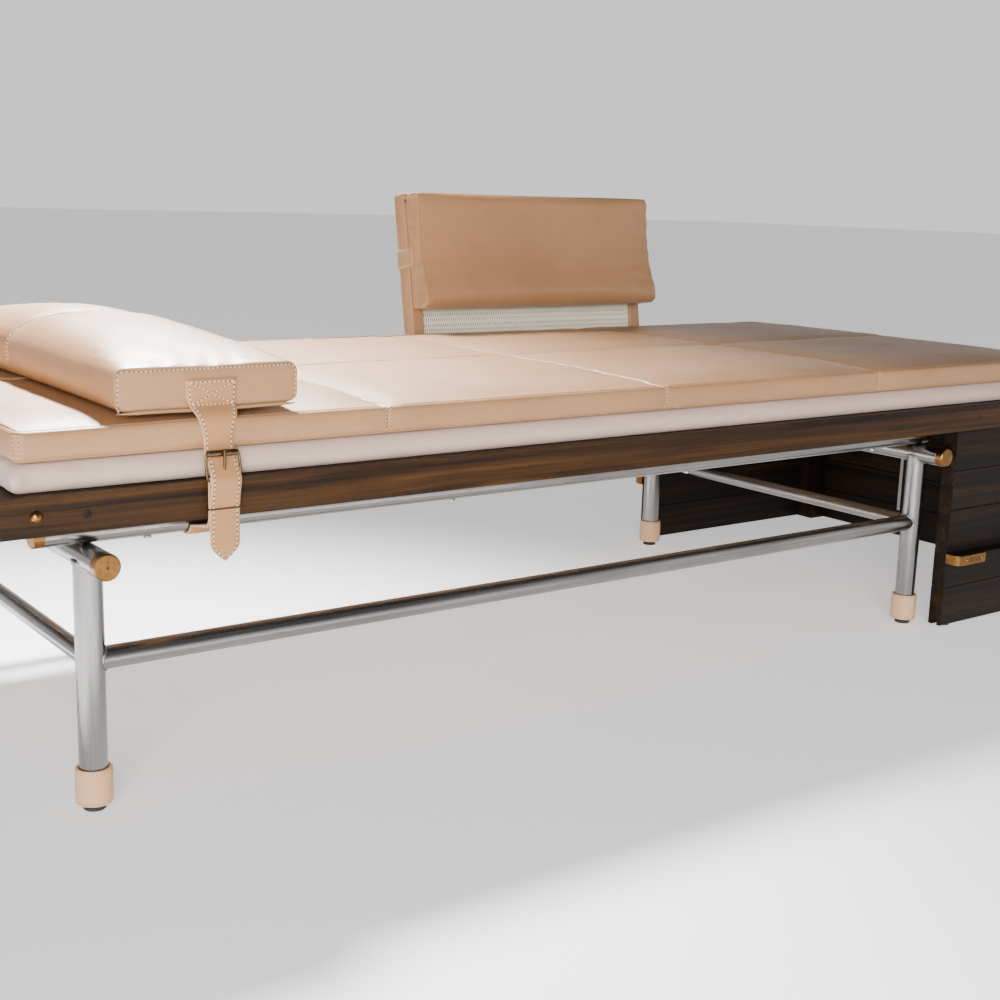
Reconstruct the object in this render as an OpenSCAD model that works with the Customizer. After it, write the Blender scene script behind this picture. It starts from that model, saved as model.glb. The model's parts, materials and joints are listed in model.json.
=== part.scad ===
// Daybed on a steel tube stand: timber frame and slats, leather mattress on a
// fabric base pad, a strapped head pillow, a lift-out backrest and a plank skirt.
// +X runs along the bed towards the skirt, +Y to the backrest, +Z up from the floor.

/* [Timber frame] */
// Overall length of the timber frame
bed_l = 2055; // [1700:5:2500]
// Overall width over the side rails
bed_w = 753; // [600:1:920]
// Height of the frame's rails
rail_h = 42.5; // [30:0.5:60]
// Plan width of the frame's rails
rail_w = 100; // [95:1:120]
// Thickness of the deck slats and shelf boards
slat_t = 14; // [10:1:18]
// Width of one deck slat
slat_w = 68; // [40:1:90]
// Number of deck slats under the pads
slat_count = 16; // [8:1:20]
// Number of boards in the end shelf
shelf_boards = 3; // [2:1:5]
// Side of the square ledger strips that carry the slats
ledger_s = 18; // [12:1:24]
// Distance of the brass studs from the frame's ends
stud_inset = 37; // [20:1:80]
// Head diameter of the brass studs
stud_d = 14; // [8:1:20]
// Diameter of the timber plugs
plug_d = 10; // [6:1:14]

/* [Steel stand] */
// Height of the cross tubes' axis above the floor
tube_z = 290; // [260:1:360]
// Height of the lower stretchers' axis
stretcher_z = 173; // [100:1:220]
// Outer diameter of the legs
leg_od = 32; // [32:1:40]
// Distance of the right legs' axis from the skirt's left edge
leg_gap = 26; // [22:1:200]
// Distance of the legs' axis from the frame's side faces
leg_side_inset = 59.5; // [36:0.5:64]
// Distance of the left legs from the frame's left end
leg_inset = 110; // [90:1:180]
// Outer diameter of the cross tubes
cross_od = 30; // [26:1:32]
// Outer diameter of the long bearer tubes
bearer_od = 26; // [22:1:32]
// Overhang of the bearers beyond the left legs' axis
bearer_overhang = 61.5; // [30:0.5:80]
// Overhang of the bearers beyond the right legs' axis
bearer_tail = 15; // [12:0.5:24]
// Outer diameter of the long stretchers
stretcher_od = 26; // [18:1:28]
// Outer diameter of the short ties
tie_od = 22; // [16:1:28]
// Wall of every tube
tube_wall = 2; // [1.5:0.1:3]
// Length of the brass cap heads
cap_l = 13; // [6:1:20]

/* [Feet] */
// Height of the leg tubes' lower ends above the floor
foot_gap = 8; // [7:0.5:14]
// Height of the leather cuffs
cuff_h = 42; // [25:1:60]
// Thickness of the cuff leather
cuff_t = 4.2; // [2:0.1:6]
// Diameter of the levelling glides
glide_d = 25; // [20:1:32]
// Thickness of the glides
glide_h = 5; // [3:0.5:6]
// Diameter of the levelling stems
stem_d = 10; // [6:1:12]

/* [Skirt] */
// Length of the skirt box from the frame's right end
skirt_l = 516; // [440:1:620]
// Thickness of the skirt planks
panel_t = 25; // [15:1:35]
// Number of planks in each side of the skirt
plank_count = 5; // [3:1:8]
// Set-back of the skirt from the frame's faces
panel_setback = 2; // [0:0.5:10]
// Thickness of the pads under the skirt
skirt_pad_h = 3; // [2:0.5:8]
// Side of the square corner posts
post_s = 40; // [25:1:60]
// Height of the battens
batten_h = 18; // [12:1:30]
// How far the battens stand out
batten_d = 24; // [14:1:35]
// Height of the battens' lower edge
batten_z = 110; // [60:1:200]
// Corner radius of the battens' noses
nose_r = 10; // [4:1:14]
// Length of the brass clips
clip_l = 69; // [40:1:110]
// Thickness of the brass clips
clip_t = 2; // [1:0.5:3]

/* [Pads] */
// Length of the bare shelf and end rail beyond the mattress
shelf_l = 245; // [220:5:600]
// Thickness of the mattress
mattress_t = 40; // [25:1:70]
// Thickness of the base pad
base_t = 30; // [15:1:50]
// Set-back of the pads from the rails' outer faces
pad_setback = 9; // [4:0.5:20]
// Distance of the mattress from the frame's left end
mattress_inset = 20; // [10:1:60]
// Width of the head pillow along the bed
pillow_w = 214; // [160:1:280]
// Distance of the head pillow from the frame's left end
pillow_inset = 128; // [90:1:200]
// Height of the pillow's boxed ends
pillow_end_h = 50; // [35:1:70]
// Height of the pillow at its middle
pillow_h = 86; // [70:1:120]
// Set-back of the pillow's ends from the mattress's edges
pillow_setback = 15; // [6:1:40]

/* [Straps] */
// Width of the pillow straps
strap_w = 35; // [24:1:38]
// Width of the sewn tab at the strap's upper end
tab_w = 55; // [42:1:70]
// Thickness of the strap leather
strap_t = 2.6; // [2:0.1:3.2]
// Distance of the straps' middle from the pillow's left side
strap_inset = 112; // [70:1:140]
// How far the strap's tip hangs below the rail
tip_drop = 48; // [20:1:80]
// Diameter of the buckle's bars
bar_d = 3; // [3:0.5:4]
// Diameter of the buckle's rollers
roller_d = 7.2; // [6:0.1:8]
// Distance between the buckle's two bars
buckle_h = 29; // [24:1:40]
// Diameter of the keeper's wire
keeper_d = 2; // [1.5:0.1:2.4]

/* [Backrest] */
// Width over the backrest's stiles
back_w = 546; // [420:1:700]
// Distance of the backrest's middle from the frame's left end
back_x = 1260; // [900:1:1350]
// Recline of the backrest
back_angle = 9.6; // [4:0.1:14]
// Length of the stiles
stile_l = 365; // [300:1:450]
// Width of a stile
stile_w = 26; // [18:1:40]
// Depth of a stile
stile_d = 32; // [22:1:45]
// Height of the back pad along the stiles
back_pad_h = 206; // [120:1:230]
// Thickness of the back pad at its top
back_pad_top = 46; // [20:1:60]
// Thickness of the back pad at its bottom
back_pad_bottom = 56; // [36:1:80]
// Depth of the sockets that hold the stiles
socket_h = 60; // [40:1:80]

/* [Clearances] */
// Gap that keeps a soft or curved piece clear of its neighbour
soft_gap = 0.3; // [0.3:0.05:0.6]
// Radial clearance of a turning or sliding pin
pin_fit = 0.05; // [0.02:0.01:0.1]
// Gap round a stile in its socket
socket_fit = 0.5; // [0.3:0.1:1]

/* [Hidden] */
$fn = 64;

// Heights, from the floor up
bearer_z = tube_z + cross_od / 2 + bearer_od / 2;
rail_z = bearer_z + bearer_od / 2;
deck_z = rail_z + rail_h;
base_top = deck_z + soft_gap + base_t;
mattress_top = base_top + soft_gap + mattress_t;
skirt_h = rail_z - skirt_pad_h;
ledger_z = deck_z - slat_t - ledger_s;

// Places along the bed, from its middle
slat_gap = 10;
left_x = -bed_l / 2;
right_x = bed_l / 2;
skirt_x = right_x - skirt_l;
leg_xs = [left_x + leg_inset, skirt_x - leg_gap];
leg_span = leg_xs[1] - leg_xs[0];
bearer_x = leg_xs[0] - bearer_overhang;
bearer_l = leg_xs[1] + bearer_tail - bearer_x;
mattress_x = left_x + mattress_inset;
mattress_l = right_x - shelf_l - mattress_x;
shelf_x = mattress_x + mattress_l - slat_gap;
slat_x = left_x + rail_w;
pillow_x = left_x + pillow_inset;
strap_x = pillow_x + strap_inset;
back_mid = left_x + back_x;

// Places across the bed, from its middle line
face_y = bed_w / 2;
leg_y = face_y - leg_side_inset;
skirt_y = face_y - panel_setback;
pad_y = face_y - pad_setback;
pillow_y = pad_y - pillow_setback;
inner_y = face_y - rail_w;
base_overlap = 3;

// Small details
bevel = 1.5;
spigot_l = 10;
joint_gap = 0.5;
stem_l = 26;
insert_l = 20;
cope_tip = 3;
base_r = 8;
mattress_r = 12;
edge_drop = 8;
crown_inset = 60;
plug_offsets = [20, 50];
skirt_pad_d = 18;
skirt_pad_inset = 25;
strip_w = 7;
strip_z = 57;
strip_h = 114;
strip_y = 103;
tongue = 6;
tongue_t = 8;
tongue_fit = 0.4;
v_cut = 1.5;

// Screws
screw_d = 4.4;
screw_head_d = 9;
screw_head_h = 2.5;
screw_l = 22;
screw_fit = 0.1;
clip_screw_d = 3;
screw_end = 130;

// Strap and buckle, measured forward from the front rail's face
wire_room = keeper_d + 2 * soft_gap + 0.2;
anchor_y = face_y + wire_room + strap_t / 2;
loop_r = bar_d / 2 + pin_fit + strap_t;
heel_y = face_y + wire_room + loop_r;
heel_z = deck_z - 0.5;
prong_d = 3;
prong_y = bar_d / 2 - 0.4;
bar_y = heel_y + prong_y - prong_d / 2 - soft_gap - roller_d / 2;
bar_z = heel_z + buckle_h;
over_loop = loop_r + soft_gap + strap_t / 2;
keeper_z = rail_z + 11;
tail_y = anchor_y + strap_t + soft_gap;
prong_w = 3.4;
prong_boss = 4;
prong_slot = prong_w + 1.2;
tip_z = rail_z - tip_drop;
tab_z = mattress_top + soft_gap + pillow_end_h - 15;
wrap_r = bearer_od / 2 + strap_t;
anchor_end_y = inner_y + 3;
anchor_end_z = rail_z - soft_gap - strap_t / 2;

// Backrest sockets
socket_wall = 3;
socket_floor = 4;
socket_ear = 20;
foot_z = rail_z - 8;
foot_y = face_y + socket_wall + socket_fit;
stile_x = back_w / 2 - stile_w / 2;
rail_d = 20;
back_rail_h = 24;
weave_t = 4;
low_rail_z = 80;
weave_h = stile_l - low_rail_z - 3;
loop_h = 32;
loop_z = 234;

// Clear height of the part in front and behind, which centres it on the origin
front_reach = skirt_y + batten_d + clip_t + 1.2;
back_reach = foot_y + stile_d * cos(back_angle) + stile_l * sin(back_angle);
bed_y = (front_reach - back_reach) / 2;

// Points of a band of thickness t along the path p
function unit(v) = v / norm(v);
function turn(p, i) =
  let (last = len(p) - 2,
       a = unit(p[max(i, 1)] - p[max(i, 1) - 1]),
       b = unit(p[min(i, last) + 1] - p[min(i, last)]),
       m = unit(a + b))
  [-m[1], m[0]] / (m * a);
function strip(p, t) = concat(
  [for (i = [0 : len(p) - 1]) p[i] + turn(p, i) * t / 2],
  [for (i = [len(p) - 1 : -1 : 0]) p[i] - turn(p, i) * t / 2]);

// Paths of the straps in the Y-Z plane, for the rear side of the bed
wrap_path = [for (a = [-20 : -35 : -160])
  [leg_y + (wrap_r) * cos(a), bearer_z + (wrap_r) * sin(a)]];
anchor_path = concat(
  [[anchor_y, heel_z], [anchor_y, rail_z - 1], [anchor_y - 7, rail_z - 9]],
  wrap_path,
  [[anchor_end_y + 18, anchor_end_z], [anchor_end_y, anchor_end_z]]);
pillow_path = [
  [pillow_y + soft_gap + strap_t / 2, tab_z],
  [pillow_y + soft_gap + strap_t / 2, mattress_top + 9],
  [pad_y - edge_drop, mattress_top + 5],
  [pad_y + strap_t / 2 + 0.8, mattress_top - 5],
  [pad_y + strap_t / 2 + 0.8, bar_z + 5],
  [pad_y + strap_t / 2 + 3, bar_z],
  [heel_y + over_loop, heel_z + 3],
  [heel_y + over_loop, heel_z - 2],
  [tail_y, keeper_z + 12],
  [tail_y, tip_z]];

// Everything is drawn about the bed's middle line, then centred on the origin
module at_bed() translate([0, bed_y, 0]) children();
module on_front() mirror([0, 1, 0]) children();
module both_sides() { children(); on_front() children(); }

module tube(od, l) difference() {
  cylinder(d = od, h = l);
  translate([0, 0, -1]) cylinder(d = od - 2 * tube_wall, h = l + 2);
}
module along_x() rotate([0, 90, 0]) children();
module along_y() rotate([-90, 0, 0]) children();
module rounded(l, w, r) {
  translate([r, 0]) square([l - 2 * r, w]);
  translate([0, r]) square([l, w - 2 * r]);
  for (x = [r, l - r], y = [r, w - r]) translate([x, y]) circle(r);
}
module band(p, t, w) translate([-w / 2, 0, 0])
  rotate([90, 0, 90]) linear_extrude(w) polygon(strip(p, t));
module cap(od) rotate_extrude() polygon([
  [0, -spigot_l], [od / 2 - tube_wall, -spigot_l], [od / 2 - tube_wall, 0], [od / 2, 0],
  [od / 2, cap_l - bevel], [od / 2 - bevel, cap_l], [bevel, cap_l], [0, cap_l - bevel]]);

// Screw pointing up from the underside of its head
module screw(extra = 0) {
  cylinder(d = screw_d + 2 * extra, h = screw_l);
  if (extra == 0) translate([0, 0, -screw_head_h]) cylinder(d = screw_head_d, h = screw_head_h);
}
module bearer_screws(extra = 0) both_sides() for (i = [0 : 3])
  translate([bearer_x + screw_end + i * (bearer_l - 2 * screw_end) / 3, leg_y, bearer_z - bearer_od / 2]) {
    translate([0, 0, bearer_od - tube_wall]) cylinder(d = screw_d + 2 * extra, h = screw_l);
    screw(extra);
  }
module anchor_screws(extra = 0) both_sides()
  translate([strap_x, anchor_end_y + 8, anchor_end_z - strap_t / 2]) screw(extra);
module socket_screws(extra = 0) for (s = [-1, 1], e = [-1, 1])
  translate([back_mid + s * stile_x + e * (stile_w / 2 + socket_ear - 7),
             face_y + socket_wall, rail_z + rail_h / 2]) rotate([90, 0, 0]) screw(extra);
module wood_screws() color("silver") at_bed() {
  bearer_screws();
  anchor_screws();
  socket_screws();
}

// Steel stand
module leg(x, y) color("lightslategray") at_bed() difference() {
  translate([x, y, foot_gap]) tube(leg_od, tube_z - cope_tip - foot_gap);
  translate([x, -bed_w / 2, tube_z]) along_y() cylinder(d = cross_od, h = bed_w);
}
module cross_tube(x) color("lightslategray") at_bed()
  translate([x, cap_l - face_y, tube_z]) along_y() tube(cross_od, bed_w - 2 * cap_l);
module stretcher(y) color("lightslategray") at_bed() difference() {
  translate([leg_xs[0], y, stretcher_z]) along_x() tube(stretcher_od, leg_span);
  for (x = leg_xs) translate([x, y, 0]) cylinder(d = leg_od, h = tube_z);
}
module tie(x) color("lightslategray") at_bed() difference() {
  translate([x, -leg_y, stretcher_z]) along_y() tube(tie_od, 2 * leg_y);
  for (y = [-leg_y, leg_y]) {
    translate([x, y, 0]) cylinder(d = leg_od, h = tube_z);
    translate([leg_xs[0], y, stretcher_z]) along_x() cylinder(d = stretcher_od, h = leg_span);
  }
}
module bearer(y) color("lightslategray") at_bed() difference() {
  translate([bearer_x + cap_l, y, bearer_z]) along_x() tube(bearer_od, bearer_l - 2 * cap_l);
  bearer_screws(screw_fit);
}
module cross_caps() color("darkgoldenrod") at_bed() for (x = leg_xs) both_sides()
  translate([x, face_y - cap_l, tube_z]) along_y() cap(cross_od);
module bearer_caps() color("darkgoldenrod") at_bed() both_sides() {
  translate([bearer_x + bearer_l - cap_l, leg_y, bearer_z]) along_x() cap(bearer_od);
  translate([bearer_x + cap_l, leg_y, bearer_z]) mirror([1, 0, 0]) along_x() cap(bearer_od);
}

// Feet
module at_legs() at_bed() for (x = leg_xs, y = [-leg_y, leg_y]) translate([x, y, 0]) children();
module foot_cuffs() color("burlywood") at_legs() translate([0, 0, foot_gap]) difference() {
  cylinder(d = leg_od + 2 * (soft_gap + cuff_t), h = cuff_h);
  translate([0, 0, -1]) cylinder(d = leg_od + 2 * soft_gap, h = cuff_h + 2);
}
module foot_inserts() color("dimgray") at_legs() translate([0, 0, foot_gap]) difference() {
  cylinder(d = leg_od - 2 * tube_wall, h = insert_l);
  translate([0, 0, -1]) cylinder(d = stem_d + 2 * pin_fit, h = insert_l + 2);
}
module foot(x, y) color("black") at_bed() translate([x, y, 0]) {
  rotate_extrude() polygon([[0, 0], [glide_d / 2 - 1, 0], [glide_d / 2, 1],
    [glide_d / 2, glide_h - 1], [glide_d / 2 - 1, glide_h], [0, glide_h]]);
  translate([0, 0, glide_h]) cylinder(d = stem_d + 7, h = foot_gap - glide_h - soft_gap, $fn = 6);
  cylinder(d = stem_d, h = stem_l + foot_gap - glide_h);
}

// Timber frame and deck
module side_rail() color("saddlebrown") at_bed() difference() {
  translate([left_x, inner_y, rail_z]) cube([bed_l, rail_w, rail_h]);
  studs();
  plugs();
  bearer_screws(screw_fit);
  anchor_screws(screw_fit);
  socket_screws(screw_fit);
}
module front_rail() color("saddlebrown") at_bed() difference() {
  translate([left_x, -face_y, rail_z]) cube([bed_l, rail_w, rail_h]);
  on_front() { studs(); plugs(); }
  bearer_screws(screw_fit);
  anchor_screws(screw_fit);
}
module end_rail(x) color("saddlebrown") at_bed()
  translate([x, -inner_y, rail_z]) cube([rail_w, 2 * inner_y, rail_h]);
module slat_ledgers() color("peru") at_bed() both_sides()
  translate([slat_x, inner_y - ledger_s, ledger_z])
    cube([bed_l - 2 * rail_w, ledger_s, ledger_s]);
module deck_slats() color("peru") at_bed() for (i = [0 : slat_count - 1])
  translate([slat_x + (i + 0.5) * (shelf_x - slat_x) / slat_count - slat_w / 2,
             joint_gap - inner_y, deck_z - slat_t]) cube([slat_w, 2 * (inner_y - joint_gap), slat_t]);
module end_shelf() color("saddlebrown") at_bed() for (i = [0 : shelf_boards - 1])
  let (w = (right_x - rail_w - shelf_x) / shelf_boards)
  translate([shelf_x + i * w, joint_gap - inner_y, deck_z - slat_t])
    cube([w - joint_gap, 2 * (inner_y - joint_gap), slat_t]);
module studs() for (x = [left_x + stud_inset, right_x - stud_inset])
  translate([x, face_y, rail_z + rail_h / 2]) along_y() {
    translate([0, 0, -15]) cylinder(d = 6, h = 15);
    intersection() {
      translate([0, 0, -2]) sphere(d = stud_d);
      cylinder(d = stud_d, h = stud_d);
    }
  }
module plugs() for (x = [leg_xs[0] - plug_offsets[0], skirt_x + plug_offsets[1]])
  translate([x, face_y - 8, rail_z + rail_h / 2 - 2]) along_y() cylinder(d = plug_d, h = 8);
module rail_plugs() color("sienna") at_bed() both_sides() plugs();

// Skirt of planks with tongues and grooves
module plank_profile(h) difference() {
  union() {
    polygon([[v_cut, 0], [panel_t - v_cut, 0], [panel_t, v_cut], [panel_t, h - v_cut],
      [panel_t - v_cut, h], [v_cut, h], [0, h - v_cut], [0, v_cut]]);
    translate([(panel_t - tongue_t) / 2, h - 1]) square([tongue_t, tongue + 1]);
  }
  translate([(panel_t - tongue_t) / 2 - tongue_fit, -1])
    square([tongue_t + 2 * tongue_fit, tongue + tongue_fit + 1]);
}
module planks(l) for (i = [0 : plank_count - 1]) let (h = skirt_h / plank_count)
  intersection() {
    translate([0, 0, skirt_pad_h + i * h])
      rotate([90, 0, 90]) linear_extrude(l) plank_profile(h);
    translate([-1, -1, 0]) cube([l + 2, panel_t + 2, rail_z]);
  }
module skirt_side() translate([skirt_x, skirt_y - panel_t, 0]) planks(skirt_l - panel_setback);
module skirt_front() color("#3a2415") at_bed() on_front() skirt_side();
module skirt_rear() color("#3a2415") at_bed() skirt_side();
module skirt_end() color("#3a2415") at_bed()
  translate([right_x - panel_setback, panel_t - skirt_y, 0]) rotate([0, 0, 90])
    planks(2 * (skirt_y - panel_t));
module skirt_posts() color("#3a2415") at_bed() both_sides()
  translate([right_x - panel_setback - panel_t - post_s, skirt_y - panel_t - post_s, skirt_pad_h])
    cube([post_s, post_s, skirt_h]);
module skirt_pads() color("black") at_bed() both_sides()
  for (x = [skirt_x + skirt_pad_inset, right_x - panel_setback - panel_t - post_s / 2])
    translate([x, skirt_y - panel_t / 2, 0]) cylinder(d = skirt_pad_d, h = skirt_pad_h);
module skirt_strip() color("lightgray") at_bed()
  translate([right_x - panel_setback - panel_t - 2, strip_y, strip_z]) cube([2, strip_w, strip_h]);

// Battens with brass clips round their noses
module nose(l, d, r) {
  translate([r, 0]) square([l - r, d]);
  square([l, d - r]);
  translate([r, d - r]) circle(r);
}
module batten() translate([skirt_x, skirt_y, batten_z]) difference() {
  linear_extrude(batten_h) nose(skirt_l - panel_setback, batten_d, nose_r);
  clip_pins(screw_fit);
}
module clip() difference() {
  linear_extrude(batten_h - 2) difference() {
    translate([-clip_t, 0]) nose(clip_l + clip_t, batten_d + clip_t, nose_r + clip_t);
    nose(clip_l + 1, batten_d, nose_r);
  }
  translate([0, 0, -1]) clip_pins(screw_fit);
}
module clip_pins(extra = 0) for (x = [clip_l * 0.3, clip_l * 0.88])
  translate([x, batten_d + clip_t, batten_h / 2]) {
    along_y() translate([0, 0, -12]) cylinder(d = clip_screw_d + 2 * extra, h = 12);
    if (extra == 0) along_y() cylinder(d1 = 6, d2 = 4, h = 1.2);
  }
module batten_front() color("#2c1a0e") at_bed() on_front() batten();
module batten_rear() color("#2c1a0e") at_bed() batten();
module batten_clips() color("peru") at_bed() both_sides()
  translate([skirt_x, skirt_y, batten_z + 1]) clip();
module brass_fixings() color("gold") at_bed() both_sides() {
  studs();
  translate([skirt_x, skirt_y, batten_z]) clip_pins();
}

// Pads
module slab(x, l, y, h, r) translate([x, -y, 0]) linear_extrude(h) rounded(l, 2 * y, r);
module base_pad() color("#cdbeb9") at_bed() translate([0, 0, deck_z + soft_gap])
  slab(mattress_x - base_overlap, mattress_l + 2 * base_overlap, pad_y, base_t, base_r);
module mattress() color("#b98f6e") at_bed() translate([0, 0, base_top + soft_gap]) hull() {
  slab(mattress_x, mattress_l, pad_y, mattress_t - edge_drop, mattress_r, $fn = 32);
  slab(mattress_x + edge_drop, mattress_l - 2 * edge_drop, pad_y - edge_drop, mattress_t,
    mattress_r - edge_drop, $fn = 32);
}
module head_pillow() color("#b98f6e") at_bed()
  translate([0, 0, mattress_top + soft_gap]) hull() {
    slab(pillow_x, pillow_w, pillow_y, pillow_end_h - edge_drop, edge_drop, $fn = 32);
    slab(pillow_x + edge_drop, pillow_w - 2 * edge_drop, pillow_y - 4, pillow_end_h, 4, $fn = 32);
    slab(pillow_x + crown_inset, pillow_w - 2 * crown_inset, pillow_y / 2, pillow_h, 4, $fn = 32);
  }

// Straps, buckles and keepers
module strap_outline() polygon([
  [-tab_w / 2, tab_z], [tab_w / 2, tab_z], [tab_w / 2, tab_z - 20],
  [strap_w / 2 + 4, tab_z - 36], [strap_w / 2, tab_z - 52],
  [strap_w / 2, tip_z + 18], [strap_w / 2 - 6, tip_z + 7], [0, tip_z],
  [6 - strap_w / 2, tip_z + 7], [-strap_w / 2, tip_z + 18],
  [-strap_w / 2, tab_z - 52], [-strap_w / 2 - 4, tab_z - 36], [-tab_w / 2, tab_z - 20]]);
module pillow_strap() translate([strap_x, 0, 0]) difference() {
  intersection() {
    band(pillow_path, strap_t, tab_w + 4);
    translate([0, 2 * face_y, 0]) rotate([90, 0, 0]) linear_extrude(2 * face_y) strap_outline();
  }
  translate([-prong_slot / 2, heel_y, heel_z - 2]) cube([prong_slot, 20, 7]);
  translate([-prong_slot / 2, pad_y + 4, heel_z + 3]) cube([prong_slot, 30, 16]);
}
module anchor_strap() translate([strap_x, 0, 0]) difference() {
  union() {
    band(anchor_path, strap_t, strap_w);
    translate([-strap_w / 2, heel_y, heel_z]) along_x() cylinder(r = loop_r, h = strap_w);
  }
  translate([-strap_w, heel_y, heel_z]) along_x() cylinder(d = bar_d + 2 * pin_fit, h = 2 * strap_w);
  translate([-prong_slot / 2, anchor_y - strap_t, heel_z - loop_r - 1])
    cube([prong_slot, 20, 2 * loop_r + 2]);
  translate([-strap_x, 0, 0]) anchor_screws(screw_fit);
}
module buckle() {
  half = strap_w / 2 + 1;
  rise = norm([bar_y - heel_y, buckle_h]);
  for (p = [[heel_y, heel_z], [bar_y, bar_z]])
    translate([-half - 1, p[0], p[1]]) along_x() cylinder(d = bar_d, h = 2 * half + 2);
  for (x = [-half - bar_d, half]) translate([x, heel_y, heel_z])
    rotate([atan2(heel_y - bar_y, buckle_h), 0, 0])
      translate([0, -bar_d / 2 - 0.2, -bar_d / 2 - 0.5]) cube([bar_d, bar_d + 0.4, rise + bar_d + 1]);
}
module prong() translate([0, heel_y, heel_z]) difference() {
  union() {
    translate([-prong_w / 2, 0, 0]) along_x() cylinder(d = bar_d + prong_boss, h = prong_w);
    translate([0, prong_y, 0]) cylinder(d = prong_d, h = buckle_h + 4);
    translate([0, prong_y, buckle_h + 4]) sphere(d = prong_d);
  }
  translate([-prong_w, 0, 0]) along_x() cylinder(d = bar_d + 2 * pin_fit, h = 2 * prong_w);
}
module roller() translate([-strap_w / 2 - 0.7, bar_y, bar_z]) along_x() difference() {
  cylinder(d = roller_d, h = strap_w + 1.4);
  translate([0, 0, -1]) cylinder(d = bar_d + 2 * pin_fit, h = strap_w + 4);
}
module keeper() {
  half = strap_w / 2 + soft_gap + keeper_d / 2;
  back = anchor_y - strap_t / 2 - soft_gap - keeper_d / 2;
  front = tail_y + strap_t / 2 + soft_gap + keeper_d / 2;
  for (y = [back, front]) translate([-half, y, 0]) {
    along_x() cylinder(d = keeper_d, h = 2 * half);
    for (x = [0, 2 * half]) translate([x, 0, 0]) sphere(d = keeper_d);
  }
  for (x = [-half, half]) translate([x, back, 0]) along_y() cylinder(d = keeper_d, h = front - back);
}
module pillow_strap_front() color("#d2ab82") at_bed() on_front() pillow_strap();
module pillow_strap_rear() color("#d2ab82") at_bed() pillow_strap();
module anchor_strap_front() color("#c79f77") at_bed() on_front() anchor_strap();
module anchor_strap_rear() color("#c79f77") at_bed() anchor_strap();
module at_strap() at_bed() translate([strap_x, 0, 0]) children();
module buckle_front() color("#5b4630") at_strap() on_front() buckle();
module buckle_rear() color("#5b4630") at_strap() buckle();
module roller_front() color("#4a3826") at_strap() on_front() roller();
module roller_rear() color("#4a3826") at_strap() roller();
module prong_front() color("#6b5236") at_strap() on_front() prong();
module prong_rear() color("#6b5236") at_strap() prong();
module strap_keepers() color("#5b4630") at_strap() both_sides() translate([0, 0, keeper_z]) keeper();

// Backrest, drawn upright from the front lower edge of its stiles and then reclined
module reclined() at_bed() translate([back_mid, foot_y, foot_z]) rotate([-back_angle, 0, 0]) children();
module stile(x) color("#b98f6e") reclined()
  translate([x - stile_w / 2, 0, 0]) cube([stile_w, stile_d, stile_l]);
module back_rails() color("saddlebrown") reclined()
  for (z = [low_rail_z, stile_l - weave_t - back_rail_h - 3])
    translate([stile_w - back_w / 2, weave_t + 3, z])
      cube([back_w - 2 * stile_w, rail_d, back_rail_h]);
module woven_panel() color("#e9e1cf") reclined()
  translate([stile_w - back_w / 2 + soft_gap, 3, low_rail_z]) {
    w = back_w - 2 * stile_w - 2 * soft_gap;
    cube([w, weave_t, weave_h]);
    translate([0, 0, weave_h - weave_t]) cube([w, weave_t + rail_d, weave_t]);
  }
module back_pad() color("#b98f6e") reclined() hull() {
  top = stile_l - 3;
  for (p = [[-soft_gap - 6, top - 6], [-soft_gap - back_pad_top + 6, top - 6],
            [-soft_gap - 8, top - back_pad_h + 8],
            [-soft_gap - back_pad_bottom + 12, top - back_pad_h + 12]])
    translate([-back_w / 2, p[0], p[1]]) along_x() cylinder(r = 6, h = back_w, $fn = 32);
}
module back_pad_loops() color("#b98f6e") reclined() for (s = [-1, 1])
  translate([s * stile_x, 0, loop_z]) mirror([s < 0 ? 1 : 0, 0, 0]) difference() {
    translate([-stile_w / 2 - soft_gap, -16, 0])
      cube([stile_w + 2 * soft_gap + strap_t, stile_d + 16 + soft_gap + strap_t, loop_h]);
    translate([-stile_w / 2 - 1, -17, -1])
      cube([stile_w + soft_gap + 1, stile_d + 17 + soft_gap, loop_h + 2]);
  }
module back_sockets() color("dimgray") difference() {
  union() {
    reclined() for (s = [-1, 1]) translate([s * stile_x, 0, 0])
      socket_block(socket_wall + socket_fit, -socket_floor, socket_h);
    at_bed() for (s = [-1, 1]) translate([back_mid + s * stile_x, face_y, 0]) {
      translate([-stile_w / 2 - socket_ear, 0, rail_z])
        cube([stile_w + 2 * socket_ear, socket_wall, rail_h]);
      translate([-stile_w / 2, 0, foot_z]) rotate([90, 0, 90]) linear_extrude(stile_w)
        polygon([[0, 0], [0, rail_z + rail_h - foot_z],
          [(rail_z + rail_h - foot_z) * tan(back_angle) + 1, rail_z + rail_h - foot_z], [1, 0]]);
    }
  }
  reclined() for (s = [-1, 1]) translate([s * stile_x, 0, 0])
    socket_block(socket_fit, 0, socket_h + 1);
  at_bed() translate([back_mid - back_w, face_y - 20, 0]) cube([2 * back_w, 20, 2 * rail_z]);
  at_bed() socket_screws(screw_fit);
}
module socket_block(room, low, high) translate([-stile_w / 2 - room, -room, low])
  cube([stile_w + 2 * room, stile_d + 2 * room, high - low]);

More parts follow.
